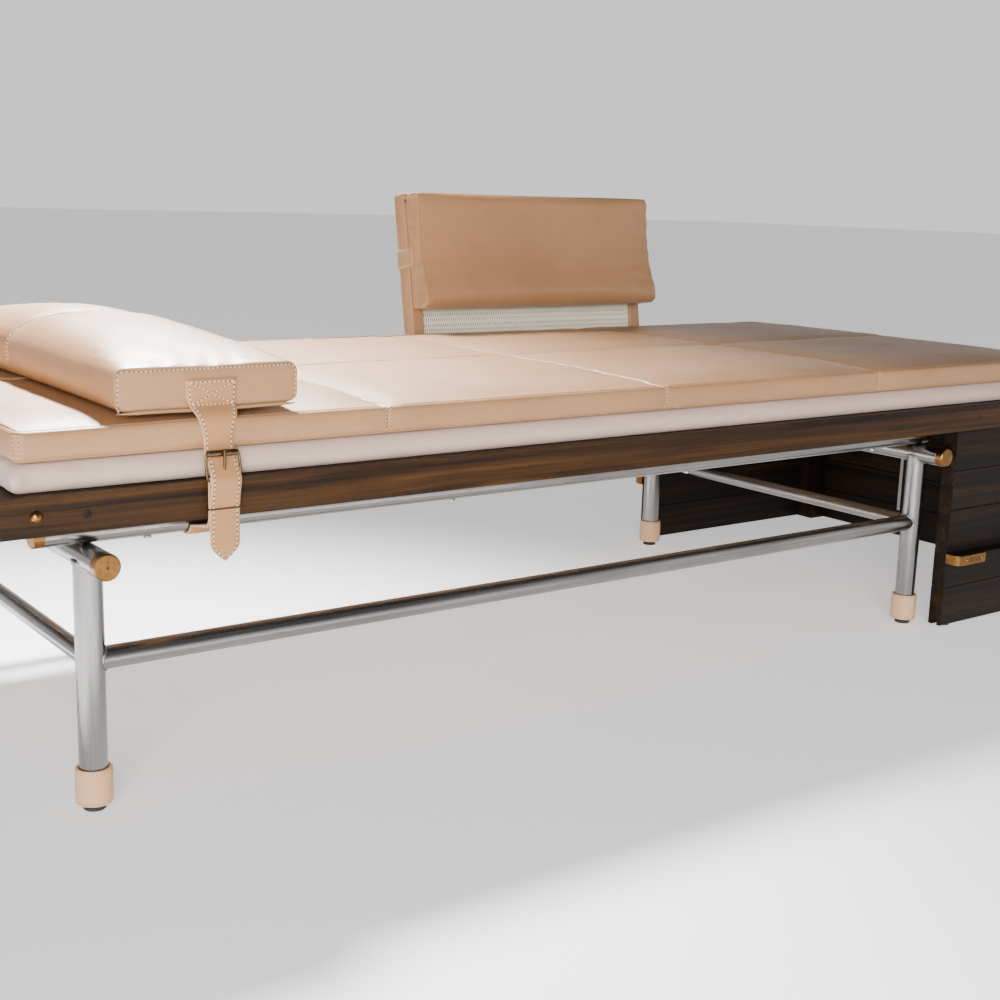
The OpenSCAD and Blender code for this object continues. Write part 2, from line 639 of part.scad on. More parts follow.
leg(leg_xs[0], -leg_y);  // leg_front_left
leg(leg_xs[1], -leg_y);  // leg_front_right
leg(leg_xs[0], leg_y);  // leg_rear_left
leg(leg_xs[1], leg_y);  // leg_rear_right
cross_tube(leg_xs[0]);  // cross_tube_left
cross_tube(leg_xs[1]);  // cross_tube_right
tie(leg_xs[0]);  // tie_left
tie(leg_xs[1]);  // tie_right
stretcher(-leg_y);  // stretcher_front
stretcher(leg_y);  // stretcher_rear
bearer(-leg_y);  // bearer_front
bearer(leg_y);  // bearer_rear
cross_caps();
bearer_caps();
foot_cuffs();
foot_inserts();
foot(leg_xs[0], -leg_y);  // foot_front_left
foot(leg_xs[1], -leg_y);  // foot_front_right
foot(leg_xs[0], leg_y);  // foot_rear_left
foot(leg_xs[1], leg_y);  // foot_rear_right
front_rail();  // side_rail_front
side_rail();  // side_rail_rear
end_rail(left_x);  // end_rail_left
end_rail(right_x - rail_w);  // end_rail_right
deck_slats();
slat_ledgers();
end_shelf();
rail_plugs();
wood_screws();
skirt_front();
skirt_rear();
skirt_end();
skirt_posts();
skirt_pads();
skirt_strip();
batten_front();
batten_rear();
batten_clips();
brass_fixings();
base_pad();
mattress();
head_pillow();
pillow_strap_front();
pillow_strap_rear();
anchor_strap_front();
anchor_strap_rear();
buckle_front();
buckle_rear();
roller_front();
roller_rear();
prong_front();
prong_rear();
strap_keepers();
stile(-stile_x);  // back_stile_left
stile(stile_x);  // back_stile_right
back_rails();
woven_panel();
back_pad();
back_pad_loops();
back_sockets();
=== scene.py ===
# Leather daybed on a brushed steel stand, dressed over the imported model.
# Sizes in the dictionaries are millimetres unless a note says otherwise.

import json
import math

import bpy
import numpy as np
from mathutils import Matrix, Vector
from mathutils.bvhtree import BVHTree
from mathutils.kdtree import KDTree


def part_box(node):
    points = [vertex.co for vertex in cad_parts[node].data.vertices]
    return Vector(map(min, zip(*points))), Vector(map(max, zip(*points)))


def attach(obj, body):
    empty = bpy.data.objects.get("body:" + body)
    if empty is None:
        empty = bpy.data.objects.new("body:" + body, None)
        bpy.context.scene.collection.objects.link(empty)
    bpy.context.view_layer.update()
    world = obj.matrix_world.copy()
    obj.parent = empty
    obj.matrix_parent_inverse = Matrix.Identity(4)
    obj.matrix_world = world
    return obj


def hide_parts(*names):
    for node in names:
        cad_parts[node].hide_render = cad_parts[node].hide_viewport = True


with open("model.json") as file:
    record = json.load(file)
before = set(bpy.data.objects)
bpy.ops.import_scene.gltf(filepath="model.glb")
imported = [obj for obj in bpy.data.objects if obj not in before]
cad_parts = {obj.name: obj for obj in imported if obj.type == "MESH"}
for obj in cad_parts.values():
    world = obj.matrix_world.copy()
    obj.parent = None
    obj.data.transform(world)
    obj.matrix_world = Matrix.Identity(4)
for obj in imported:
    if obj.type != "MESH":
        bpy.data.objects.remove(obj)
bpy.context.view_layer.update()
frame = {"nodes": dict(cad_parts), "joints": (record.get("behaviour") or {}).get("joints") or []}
nodes = frame["nodes"]
mm = 0.001
print("frame loaded:", len(nodes), "nodes")


# A socket that takes part in sums, so shader maths reads as maths
class Wire:
    def __init__(self, finish, socket):
        self.finish = finish
        self.socket = socket

    def math(self, operation, *others):
        values = dict(enumerate([self, *others]))
        return self.finish.node("ShaderNodeMath", {"operation": operation}, values)

    def flipped(self, operation, other):
        return self.finish.node("ShaderNodeMath", {"operation": operation}, {0: other, 1: self})

    def __add__(self, other):
        return self.math("ADD", other)

    def __radd__(self, other):
        return self.math("ADD", other)

    def __sub__(self, other):
        return self.math("SUBTRACT", other)

    def __rsub__(self, other):
        return self.flipped("SUBTRACT", other)

    def __mul__(self, other):
        return self.math("MULTIPLY", other)

    def __rmul__(self, other):
        return self.math("MULTIPLY", other)

    def __truediv__(self, other):
        return self.math("DIVIDE", other)

    def __pow__(self, other):
        return self.math("POWER", other)


# One material: nodes go in through node(), and the shader's own values through done()
class Finish:
    def __init__(self, name):
        self.material = bpy.data.materials.new(name)
        self.material.use_nodes = True
        self.tree = self.material.node_tree
        self.tree.nodes.clear()
        self.shader = self.tree.nodes.new("ShaderNodeBsdfPrincipled")
        end = self.tree.nodes.new("ShaderNodeOutputMaterial")
        self.tree.links.new(self.shader.outputs[0], end.inputs[0])
        self.place = self.node("ShaderNodeTexCoord", output="Object")

    def node(self, kind, settings=None, values=None, output=0):
        made = self.tree.nodes.new(kind)
        for key, value in (settings or {}).items():
            if key == "stops":
                ends = made.color_ramp.elements
                ends[0].position, ends[0].color = value[0][0], (*value[0][1], 1)
                ends[1].position, ends[1].color = value[-1][0], (*value[-1][1], 1)
                for spot, colour in value[1:-1]:
                    ends.new(spot).color = (*colour, 1)
            else:
                setattr(made, key, value)
        self.fill(made, values or {})
        return Wire(self, made.outputs[output])

    def fill(self, made, values):
        for key, value in values.items():
            if isinstance(value, Wire):
                self.tree.links.new(value.socket, made.inputs[key])
            else:
                made.inputs[key].default_value = value

    def stretched(self, scale, place=None):
        return self.node("ShaderNodeMapping", {}, {0: place or self.place, "Scale": scale})

    def noise(self, scale, detail=3.0, rough=0.55, place=None):
        values = {"Vector": place or self.place, "Scale": scale, "Detail": detail, "Roughness": rough}
        return self.node("ShaderNodeTexNoise", {}, values)

    def cells(self, scale, feature="F1", place=None):
        values = {"Vector": place or self.place, "Scale": scale}
        return self.node("ShaderNodeTexVoronoi", {"feature": feature}, values)

    def ramp(self, factor, stops):
        return self.node("ShaderNodeValToRGB", {"stops": stops}, {0: factor})

    def between(self, value, low, high):
        limits = {0: value, "From Min": low, "From Max": high}
        return self.node("ShaderNodeMapRange", {"clamp": True}, limits)

    def blendColour(self, factor, first, second, mode="MIX"):
        first = first if isinstance(first, Wire) else (*first, 1)
        second = second if isinstance(second, Wire) else (*second, 1)
        settings = {"data_type": "RGBA", "blend_type": mode}
        return self.node("ShaderNodeMix", settings, {0: factor, 6: first, 7: second}, 2)

    def bumped(self, height, strength, depth):
        values = {"Height": height, "Strength": strength, "Distance": depth}
        return self.node("ShaderNodeBump", {}, values)

    def done(self, **values):
        self.fill(self.shader, {key.replace("_", " "): value for key, value in values.items()})
        return self.material


leatherLook = {
    "camel": (0.448, 0.240, 0.114), "deep": (0.392, 0.204, 0.094),
    "grain": 950.0, "fine": 2600.0, "clouds": 5.0, "gloss": 0.30,
}


def leather(name, light, dark, look=leatherLook, gloss=None):
    made = Finish(name)
    clouds = made.noise(look["clouds"], 4.0, 0.6)
    blotch = made.noise(look["clouds"] * 7, 3.0, 0.6)
    pebble = made.cells(look["grain"])
    pores = made.noise(look["fine"], 2.0, 0.5)
    crease = made.between(made.cells(look["grain"] * 0.28, "DISTANCE_TO_EDGE"), 0.0, 0.12)
    tone = made.between(clouds * 0.75 + blotch * 0.25, 0.38, 0.64)
    colour = made.blendColour(tone, dark, light)
    # The grain's cell edges and creases are blended towards a darker tone: painted shade in the hollows
    shade = made.blendColour(pebble * 0.22 + (1 - crease) * 0.08, colour, tuple(c * 0.6 for c in dark))
    rough = (look["gloss"] if gloss is None else gloss) + blotch * 0.12 + pebble * 0.06
    height = 1 - pebble * 0.9 + pores * 0.25 + crease * 0.35
    return made.done(Base_Color=shade, Roughness=rough, Normal=made.bumped(height, 0.30, 0.00035),
                     Specular_IOR_Level=0.38)


def rawEdge(name, light, dark):
    made = Finish(name)
    fibres = made.noise(700.0, 4.0, 0.7)
    colour = made.blendColour(made.between(fibres, 0.35, 0.65), dark, light)
    return made.done(Base_Color=colour, Roughness=0.6 + fibres * 0.3,
                     Normal=made.bumped(fibres, 0.4, 0.0003))


def thread(name, light, dark):
    made = Finish(name)
    twist = made.noise(1800.0, 2.0, 0.5)
    colour = made.blendColour(made.between(twist, 0.35, 0.65), dark, light)
    return made.done(Base_Color=colour, Roughness=0.55 + twist * 0.25, Sheen_Weight=0.2,
                     Normal=made.bumped(twist, 0.4, 0.0002))


def weave(name, light, dark, pitch):
    made = Finish(name)
    parts = [made.node("ShaderNodeSeparateXYZ", {}, {0: made.place}, axis) for axis in "XYZ"]
    turn = 2 * math.pi / (pitch * mm)
    drift = made.noise(60.0, 3.0, 0.6)
    warp = (parts[0] * turn + drift * 1.6).math("SINE")
    weft = ((parts[1] + parts[2]) * turn + drift * 1.2).math("SINE")
    over = made.between(warp * weft, -1.0, 1.0)
    slub = made.noise(1.0, 4.0, 0.65, made.stretched((60.0, 900.0, 900.0)))
    cloud = made.noise(5.0, 4.0, 0.6)
    tone = made.between(over * 0.45 + slub * 0.35 + cloud * 0.45, 0.35, 0.85)
    colour = made.blendColour(tone, dark, light)
    return made.done(Base_Color=colour, Roughness=0.82 + slub * 0.12, Sheen_Weight=0.35,
                     Sheen_Roughness=0.4, Normal=made.bumped(over + slub * 0.5, 0.45, 0.0003))


def timber(name, axis, stops, gloss=0.40, streak=1.0):
    made = Finish(name)
    chance = made.node("ShaderNodeNewGeometry", output="Random Per Island")
    step = made.node("ShaderNodeCombineXYZ", {}, {"X": chance * 3.1, "Y": chance * 7.7, "Z": chance * 5.3})
    spot = made.node("ShaderNodeVectorMath", {"operation": "ADD"}, {0: made.place, 1: step})

    def along(slow, fast):
        return tuple(slow if name == axis else fast for name in "xyz")

    warp = made.noise(3.0, 2.0, 0.5, made.stretched(along(1.0, 4.0), spot))
    swing = made.node("ShaderNodeVectorMath", {"operation": "MULTIPLY_ADD"}, {
        0: made.node("ShaderNodeCombineXYZ", {}, {"X": warp, "Y": warp, "Z": warp}),
        1: tuple(0.0 if n == axis else 0.016 for n in "xyz"), 2: spot})
    broad = made.noise(1.0, 3.0, 0.55, made.stretched(along(1.1, 70.0), swing))
    lines = made.noise(1.0, 5.0, 0.62, made.stretched(along(2.6, 210.0), swing))
    pores = made.noise(1.0, 3.0, 0.7, made.stretched(along(38.0, 1500.0), spot))
    tone = broad * 0.62 * streak + lines * 0.42 + (chance - 0.5) * 0.10 + (1 - streak) * 0.31
    colour = made.ramp(tone, stops)
    dots = made.between(pores, 0.56, 0.70)
    shade = made.blendColour(dots * 0.55, colour, tuple(c * 0.45 for c in stops[0][1]))
    return made.done(Base_Color=shade, Roughness=gloss + lines * 0.14 + dots * 0.12,
                     Normal=made.bumped(1 - dots * 0.8 + lines * 0.3, 0.35, 0.0003),
                     Specular_IOR_Level=0.18)


def brushed(name, axis, light, dark, gloss):
    made = Finish(name)
    fine = made.noise(1.0, 4.0, 0.7, made.stretched(tuple(6.0 if n == axis else 1400.0 for n in "xyz")))
    smear = made.noise(1.0, 3.0, 0.6, made.stretched(tuple(5.0 if n == axis else 45.0 for n in "xyz")))
    cloud = made.noise(14.0, 4.0, 0.6)
    colour = made.blendColour(made.between(fine * 0.5 + smear * 0.5, 0.35, 0.65), dark, light)
    rough = gloss + fine * 0.10 + cloud * 0.08
    return made.done(Base_Color=colour, Metallic=1.0, Roughness=rough,
                     Normal=made.bumped(fine, 0.12, 0.0001))


def cast(name, light, dark, gloss, scale=160.0, metal=1.0):
    made = Finish(name)
    grainy = made.noise(scale, 4.0, 0.65)
    worn = made.noise(scale * 0.2, 3.0, 0.6)
    colour = made.blendColour(made.between(grainy * 0.5 + worn * 0.5, 0.38, 0.62), dark, light)
    return made.done(Base_Color=colour, Metallic=metal, Roughness=gloss + worn * 0.16,
                     Normal=made.bumped(grainy, 0.14, 0.0002))


walnutStops = [(0.36, (0.003, 0.0014, 0.0006)), (0.46, (0.011, 0.0046, 0.0014)),
               (0.55, (0.032, 0.0128, 0.0026)), (0.68, (0.069, 0.0285, 0.0060))]
darkStops = [(0.38, (0.003, 0.0014, 0.0006)), (0.48, (0.007, 0.0033, 0.0012)),
             (0.58, (0.016, 0.0080, 0.0029)), (0.70, (0.032, 0.0165, 0.0062))]
slatStops = [(0.36, (0.22, 0.125, 0.060)), (0.50, (0.36, 0.225, 0.115)), (0.66, (0.50, 0.34, 0.19))]

tanLeather = leather("tan_leather", leatherLook["camel"], leatherLook["deep"])
strapLeather = leather("strap_leather", (0.500, 0.252, 0.105), (0.430, 0.205, 0.080), gloss=0.42)
strapEdge = rawEdge("strap_edge", (0.72, 0.50, 0.32), (0.58, 0.36, 0.20))
cuffLeather = leather("cuff_leather", (0.800, 0.480, 0.270), (0.720, 0.410, 0.220), gloss=0.44)
# Near-black leather for the discs at the needle holes: painted shade
holeShade = leather("needle_hole_shade", (0.16, 0.075, 0.035), (0.10, 0.045, 0.02), gloss=0.6)
creamThread = thread("cream_thread", (0.86, 0.70, 0.50), (0.72, 0.56, 0.38))
camelThread = thread("camel_thread", (0.70, 0.43, 0.23), (0.56, 0.32, 0.16))
baseFabric = weave("base_fabric", (0.620, 0.455, 0.375), (0.500, 0.350, 0.280), 1.3)
cordFibre = thread("cord_fibre", (0.94, 0.90, 0.76), (0.82, 0.76, 0.61))
# Near-black cloth for the sheet inside the woven panel: painted shade
panelShadeSheet = weave("panel_shade_sheet", (0.040, 0.036, 0.032), (0.022, 0.020, 0.018), 1.0)
walnut = {axis: timber("walnut_" + axis, axis, walnutStops) for axis in "xy"}
darkWalnut = {axis: timber("dark_walnut_" + axis, axis, darkStops, 0.48) for axis in "xyz"}
slatTimber = {axis: timber("slat_timber_" + axis, axis, slatStops, 0.5, 0.7) for axis in "xy"}
steel = {axis: brushed("brushed_steel_" + axis, axis, (0.37, 0.36, 0.35), (0.21, 0.20, 0.195), 0.15)
         for axis in "xyz"}
weldSteel = cast("weld_steel", (0.42, 0.40, 0.38), (0.22, 0.21, 0.21), 0.34, 420.0)
brass = cast("satin_brass", (0.31, 0.157, 0.048), (0.19, 0.090, 0.028), 0.24)
antique = cast("antique_brass", (0.20, 0.125, 0.065), (0.075, 0.045, 0.024), 0.28, 520.0)
zinc = cast("zinc_steel", (0.52, 0.52, 0.50), (0.36, 0.36, 0.35), 0.30)
blackRubber = cast("black_glide", (0.030, 0.029, 0.028), (0.012, 0.012, 0.012), 0.55, 900.0, 0.0)
paleTape = weave("pale_tape", (0.56, 0.52, 0.47), (0.42, 0.38, 0.34), 1.1)
print("finishes made")


def boxOf(node):
    low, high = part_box(node)
    return np.array(low) * 1000, np.array(high) * 1000


mattressLow, mattressHigh = boxOf("mattress")
baseLow, baseHigh = boxOf("base_pad")
pillowLow, pillowHigh = boxOf("head_pillow")
pillowLow = pillowLow + np.array((3.0, 0, 0))
pillowHigh = pillowHigh + np.array((6.0, 0, 0))
bedY = (mattressLow[1] + mattressHigh[1]) / 2
lift = next(joint for joint in frame["joints"] if joint["name"] == "backrest_lift")
recline = math.atan2(lift["axis"][1], lift["axis"][2])


# Reused mesh tools, all in millimetres
def makePiece(name, points, faces, finish, body, slot, smooth=True, edgeFaces=(), edgeFinish=None):
    mesh = bpy.data.meshes.new(name)
    mesh.from_pydata((np.asarray(points, float) * mm).tolist(), [], [list(f) for f in faces])
    mesh.polygons.foreach_set("use_smooth", [smooth] * len(mesh.polygons))
    mesh.materials.append(finish)
    if edgeFinish:
        mesh.materials.append(edgeFinish)
        for n in edgeFaces:
            mesh.polygons[n].material_index = 1
    mesh.validate()
    mesh.update()
    piece = bpy.data.objects.new(name, mesh)
    bpy.context.scene.collection.objects.link(piece)
    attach(piece, body)
    return piece


# Places of the mesh lines: close together at the edges and beside each seam
def stations(low, high, pitch, edge, seams=()):
    steps = (0, 0.15, 0.35, 0.6, 1)
    marks = [low + edge * f for f in steps] + [high - edge * f for f in steps]
    marks += list(np.linspace(low + edge, high - edge, max(2, round((high - low - 2 * edge) / pitch)) + 1))
    for seam in seams:
        marks = [m for m in marks if abs(m - seam) > 21 or m in (low, high)]
        steps = (0, 0.7, 1.5, 2.6, 4, 6, 9, 13, 18)
        marks += [seam + side * s for s in steps for side in (-1, 1)]
    return sorted({round(m, 3) for m in marks})


# Closed skin of four-sided faces over a box of mesh lines
def boxSkin(xs, ys, zs):
    nx, ny, nz = len(xs) - 1, len(ys) - 1, len(zs) - 1
    index, points, faces = {}, [], []

    def at(*key):
        if key not in index:
            index[key] = len(points)
            points.append((xs[key[0]], ys[key[1]], zs[key[2]]))
        return index[key]

    for i in range(nx):
        for j in range(ny):
            faces.append((at(i, j, 0), at(i, j + 1, 0), at(i + 1, j + 1, 0), at(i + 1, j, 0)))
            faces.append((at(i, j, nz), at(i + 1, j, nz), at(i + 1, j + 1, nz), at(i, j + 1, nz)))
        for k in range(nz):
            faces.append((at(i, 0, k), at(i + 1, 0, k), at(i + 1, 0, k + 1), at(i, 0, k + 1)))
            faces.append((at(i, ny, k), at(i, ny, k + 1), at(i + 1, ny, k + 1), at(i + 1, ny, k)))
    for j in range(ny):
        for k in range(nz):
            faces.append((at(0, j, k), at(0, j, k + 1), at(0, j + 1, k + 1), at(0, j + 1, k)))
            faces.append((at(nx, j, k), at(nx, j + 1, k), at(nx, j + 1, k + 1), at(nx, j, k + 1)))
    return np.array(points, float), faces


# Rounds a box skin's edges; gives the points and their outward directions
def rounded(points, low, high, radii):
    radii = np.array(radii, float)
    inner = np.clip(points, np.array(low) + radii, np.array(high) - radii)
    out = (points - inner) / radii
    out /= np.maximum(np.linalg.norm(out, axis=1), 1e-9)[:, None]
    facing = out / radii
    facing /= np.maximum(np.linalg.norm(facing, axis=1), 1e-9)[:, None]
    return inner + out * radii, facing


# Soft even waviness between -1 and 1, the same on every run
def ripple(points, size, seed, count=8):
    chance = np.random.default_rng(seed)
    total = np.zeros(len(points))
    for _ in range(count):
        heading = chance.normal(size=3)
        heading /= np.linalg.norm(heading)
        wave = size * chance.uniform(0.6, 1.7)
        total += np.sin(points @ heading * 2 * math.pi / wave + chance.uniform(0, 2 * math.pi))
    return total / math.sqrt(count) / 1.4


def dip(distance, soft, softReach, sharp, sharpReach):
    return soft * np.exp(-distance / softReach) + sharp * np.exp(-(distance / sharpReach) ** 2)


def facingOf(points, faces):
    total = np.zeros_like(points)
    for size in {len(f) for f in faces}:
        some = np.array([f for f in faces if len(f) == size])
        normal = np.cross(points[some[:, 2]] - points[some[:, 0]], points[some[:, -1]] - points[some[:, 1]])
        for n in range(size):
            np.add.at(total, some[:, n], normal)
    return total / np.maximum(np.linalg.norm(total, axis=1), 1e-9)[:, None]


# Drops a run of points on to a skin, along the directions it is given
def layOn(tree, run, facing, start=14.0):
    spots, ways = [], []
    for p, n in zip(run, facing):
        n = Vector(n).normalized()
        hit, normal, _, _ = tree.ray_cast(Vector(p) + n * start, -n, start * 2.5)
        spots.append(np.array(hit if hit else p, float))
        ways.append(np.array(normal if hit and normal.dot(n) > 0.2 else n, float))
    return np.array(spots), np.array(ways)


def resample(run, pitch, extra=None):
    lengths = np.concatenate([[0], np.cumsum(np.linalg.norm(np.diff(run, axis=0), axis=1))])
    count = max(2, int(lengths[-1] / pitch) + 1)
    marks = (np.arange(count) + 0.5) * lengths[-1] / count
    spots = np.stack([np.interp(marks, lengths, run[:, n]) for n in range(3)], 1)
    ahead = np.stack([np.interp(marks + 0.4, lengths, run[:, n]) for n in range(3)], 1)
    back = np.stack([np.interp(marks - 0.4, lengths, run[:, n]) for n in range(3)], 1)
    heading = ahead - back
    heading /= np.maximum(np.linalg.norm(heading, axis=1), 1e-9)[:, None]
    if extra is None:
        return spots, heading
    return spots, heading, np.stack([np.interp(marks, lengths, extra[:, n]) for n in range(3)], 1)


# All the stitches of several runs in one mesh: small rounded beads sunk in the skin, each with a dark disc
# at its needle hole as painted shade
def stitches(runs, pitch, length, width):
    sides = 5
    disc = [(0.5 * math.cos(a), 0.5 * math.sin(a)) for a in np.arange(6) * math.pi / 3]
    ring = [(math.cos(2 * math.pi * s / sides), math.sin(2 * math.pi * s / sides)) for s in range(sides)]
    girths = ((-0.36, 0.8), (0, 1), (0.36, 0.8))
    bead = [(-0.5, 0, 0)] + [(t, w * a, w * b) for t, w in girths for a, b in ring]
    bead = np.array(bead + [(0.5, 0, 0)])
    shape = [(0, 1 + (s + 1) % sides, 1 + s) for s in range(sides)]
    for r in range(2):
        for s in range(sides):
            a, b = 1 + r * sides + s, 1 + r * sides + (s + 1) % sides
            shape.append((a, b, b + sides, a + sides))
    last = 3 * sides + 1
    shape += [(last - sides + s, last - sides + (s + 1) % sides, last) for s in range(sides)]
    points, faces, shadeDiscs, start = [], [], [], 0
    for run, facing in runs:
        spots, heading, up = resample(run, pitch, facing)
        side = np.cross(up, heading)
        side /= np.maximum(np.linalg.norm(side, axis=1), 1e-9)[:, None]
        up = np.cross(heading, side)
        for p, t, b, n in zip(spots, heading, side, up):
            body = p + np.outer(bead[:, 0] * length, t) + np.outer(bead[:, 1] * width, b)
            points.append(body + np.outer(bead[:, 2] * width * 0.8 + width * 0.25, n))
            faces += [tuple(start + v for v in f) for f in shape]
            start += len(bead)
            # A dark disc where the needle went through: painted shade of the hole
            hole = p + t * pitch / 2 + n * 0.12
            reach = (pitch - length) * 1.3
            points.append(np.array([hole + t * u * reach + b * v * width * 2.4 for u, v in disc]))
            shadeDiscs.append(len(faces))
            faces.append(tuple(range(start, start + 6)))
            start += 6
    return np.concatenate(points), faces, shadeDiscs


# Puts stitches on a piece's skin as their own piece
def sew(name, runs, pitch, length, width, finish, body, slot, place=None):
    points, faces, shadeDiscs = stitches(runs, pitch, length, width)
    if place:
        points = place(points)
    makePiece(name, points, faces, finish, body, slot, edgeFaces=shadeDiscs, edgeFinish=holeShade)


# A round cord along a path; the ends are closed unless the path is a loop
def cordMesh(path, radius, sides=8, loop=False, radii=None):
    path = np.asarray(path, float)
    if loop:
        heading = np.roll(path, -1, 0) - np.roll(path, 1, 0)
    else:
        heading = np.gradient(path, axis=0)
    heading /= np.maximum(np.linalg.norm(heading, axis=1), 1e-9)[:, None]
    side = np.cross(heading[0], (0.13, 0.21, 0.97) if abs(heading[0][2]) < 0.9 else (1, 0.1, 0))
    points = []
    for n, (p, t) in enumerate(zip(path, heading)):
        side = side - t * (side @ t)
        side /= np.linalg.norm(side)
        up = np.cross(t, side)
        r = radius if radii is None else radii[n]
        points += [p + r * (side * math.cos(a) + up * math.sin(a))
                   for a in (2 * math.pi * s / sides for s in range(sides))]
    count = len(path)
    faces = []
    for n in range(count if loop else count - 1):
        a, b = n * sides, ((n + 1) % count) * sides
        for s in range(sides):
            t = (s + 1) % sides
            faces.append((a + s, a + t, b + t, b + s))
    if not loop:
        faces.append(tuple(reversed(range(sides))))
        faces.append(tuple(range((count - 1) * sides, count * sides)))
    return np.array(points), faces


def joined(parts):
    points, faces, start = [], [], 0
    for p, f in parts:
        points.append(p)
        faces += [tuple(start + v for v in face) for face in f]
        start += len(p)
    return np.concatenate(points), faces


# Corner-cutting, which turns a few corner points into a smooth curve
def smoothPath(path, times=3, loop=False):
    path = np.asarray(path, float)
    for _ in range(times):
        after = np.roll(path, -1, 0) if loop else path[1:]
        here = path if loop else path[:-1]
        cut = np.empty((2 * len(here), path.shape[1]))
        cut[0::2] = here * 0.75 + after * 0.25
        cut[1::2] = here * 0.25 + after * 0.75
        path = cut if loop else np.concatenate([path[:1], cut, path[-1:]])
    return path


# Swells a skin like stuffed leather with Cloth, holding the points near its seams
def inflate(points, faces, voxel, pressure, cap, held):
    mesh = bpy.data.meshes.new("swelling")
    mesh.from_pydata((points * mm).tolist(), [], [list(f) for f in faces])
    piece = bpy.data.objects.new("swelling", mesh)
    scene = bpy.context.scene
    scene.collection.objects.link(piece)
    even = piece.modifiers.new("even", "REMESH")
    even.mode = "VOXEL"
    even.voxel_size = voxel * mm
    piece.data = bpy.data.meshes.new_from_object(piece.evaluated_get(bpy.context.evaluated_depsgraph_get()))
    piece.modifiers.clear()
    count = len(piece.data.vertices)
    flat = np.zeros(count * 3)
    piece.data.vertices.foreach_get("co", flat)
    start = flat.reshape(-1, 3) * 1000
    move = np.zeros_like(start)
    weights = held(start)
    group = piece.vertex_groups.new(name="seams")
    for level in (0.5, 1.0):
        some = np.nonzero((weights > level - 0.3) & (weights <= level + 0.2))[0]
        group.add(some.tolist(), level, "REPLACE")
    cloth = piece.modifiers.new("swell", "CLOTH")
    cloth.settings.use_pressure = True
    cloth.settings.uniform_pressure_force = pressure
    cloth.settings.effector_weights.gravity = 0
    cloth.settings.vertex_group_mass = "seams"
    cloth.settings.tension_stiffness = 30
    cloth.settings.compression_stiffness = 30
    cloth.settings.bending_stiffness = 1.5
    cloth.settings.air_damping = 3
    cloth.point_cache.frame_start = 1
    cloth.point_cache.frame_end = 20
    for n in range(1, 21):
        scene.frame_set(n)
    shaped = piece.evaluated_get(bpy.context.evaluated_depsgraph_get()).data
    shaped.vertices.foreach_get("co", flat)
    move = flat.reshape(-1, 3) * 1000 - start
    reach = np.linalg.norm(move, axis=1)
    move *= (cap * np.tanh(reach / cap) / np.maximum(reach, 1e-9))[:, None]
    piece.modifiers.clear()
    scene.frame_set(1)
    piece.data.vertices.foreach_set("co", ((start + move) * mm).ravel())
    return piece, start, move


# A swollen shape, smoothed once
def swell(points, faces, voxel, pressure, cap, held):
    piece, start, move = inflate(points, faces, voxel, pressure, cap, held)
    smooth = piece.modifiers.new("smooth", "SUBSURF")
    smooth.levels = smooth.render_levels = 1
    done = bpy.data.meshes.new_from_object(piece.evaluated_get(bpy.context.evaluated_depsgraph_get()))
    flat = np.zeros(len(done.vertices) * 3)
    done.vertices.foreach_get("co", flat)
    faces = [tuple(p.vertices) for p in done.polygons]
    bpy.data.objects.remove(piece)
    return flat.reshape(-1, 3) * 1000, faces


# Swells a coarse copy of a large pad and carries its movement to the fine skin, which keeps its seams
def carried(points, faces, voxel, pressure, cap, held):
    piece, start, move = inflate(points, faces, voxel, pressure, cap, held)
    bpy.data.objects.remove(piece)
    if not move.any():
        return points
    near = KDTree(len(start))
    for n, spot in enumerate(start.tolist()):
        near.insert(spot, n)
    near.balance()
    shift = np.zeros_like(points)
    for n, spot in enumerate(points.tolist()):
        found = near.find_n(spot, 6)
        pull = np.array([1 / (gap + 2.0) ** 2 for _, _, gap in found])
        shift[n] = (move[[index for _, index, _ in found]] * pull[:, None]).sum(0) / pull.sum()
    print("large pad moved by", round(float(np.linalg.norm(shift, axis=1).max()), 2), "mm at most")
    return points + shift


def distanceTo(points, path):
    tree = KDTree(len(path))
    for n, p in enumerate(path):
        tree.insert(p, n)
    tree.balance()
    return np.array([tree.find(p)[2] for p in points])


# Up the front of a rounded box, over its top and down the back, at one x
def overSection(x, low, high, ry, rz, step=2.0, foot=5.0):
    run, facing = [], []
    for z in np.arange(low[2] + foot, high[2] - rz, step):
        run.append((x, low[1], z))
        facing.append((0, -1, 0))
    for a in np.linspace(0, math.pi / 2, 8):
        run.append((x, low[1] + ry - ry * math.cos(a), high[2] - rz + rz * math.sin(a)))
        facing.append((0, -math.cos(a), math.sin(a)))
    for y in np.arange(low[1] + ry + step, high[1] - ry, step):
        run.append((x, y, high[2]))
        facing.append((0, 0, 1))
    front = len(run)
    back = [((x, 2 * bedY - r[1], r[2]), (0, -f[1], f[2])) for r, f in zip(run[:front], facing[:front])
            if r[1] < low[1] + ry + 0.01]
    for r, f in reversed(back):
        run.append(r)
        facing.append(f)
    return np.array(run), np.array(facing)


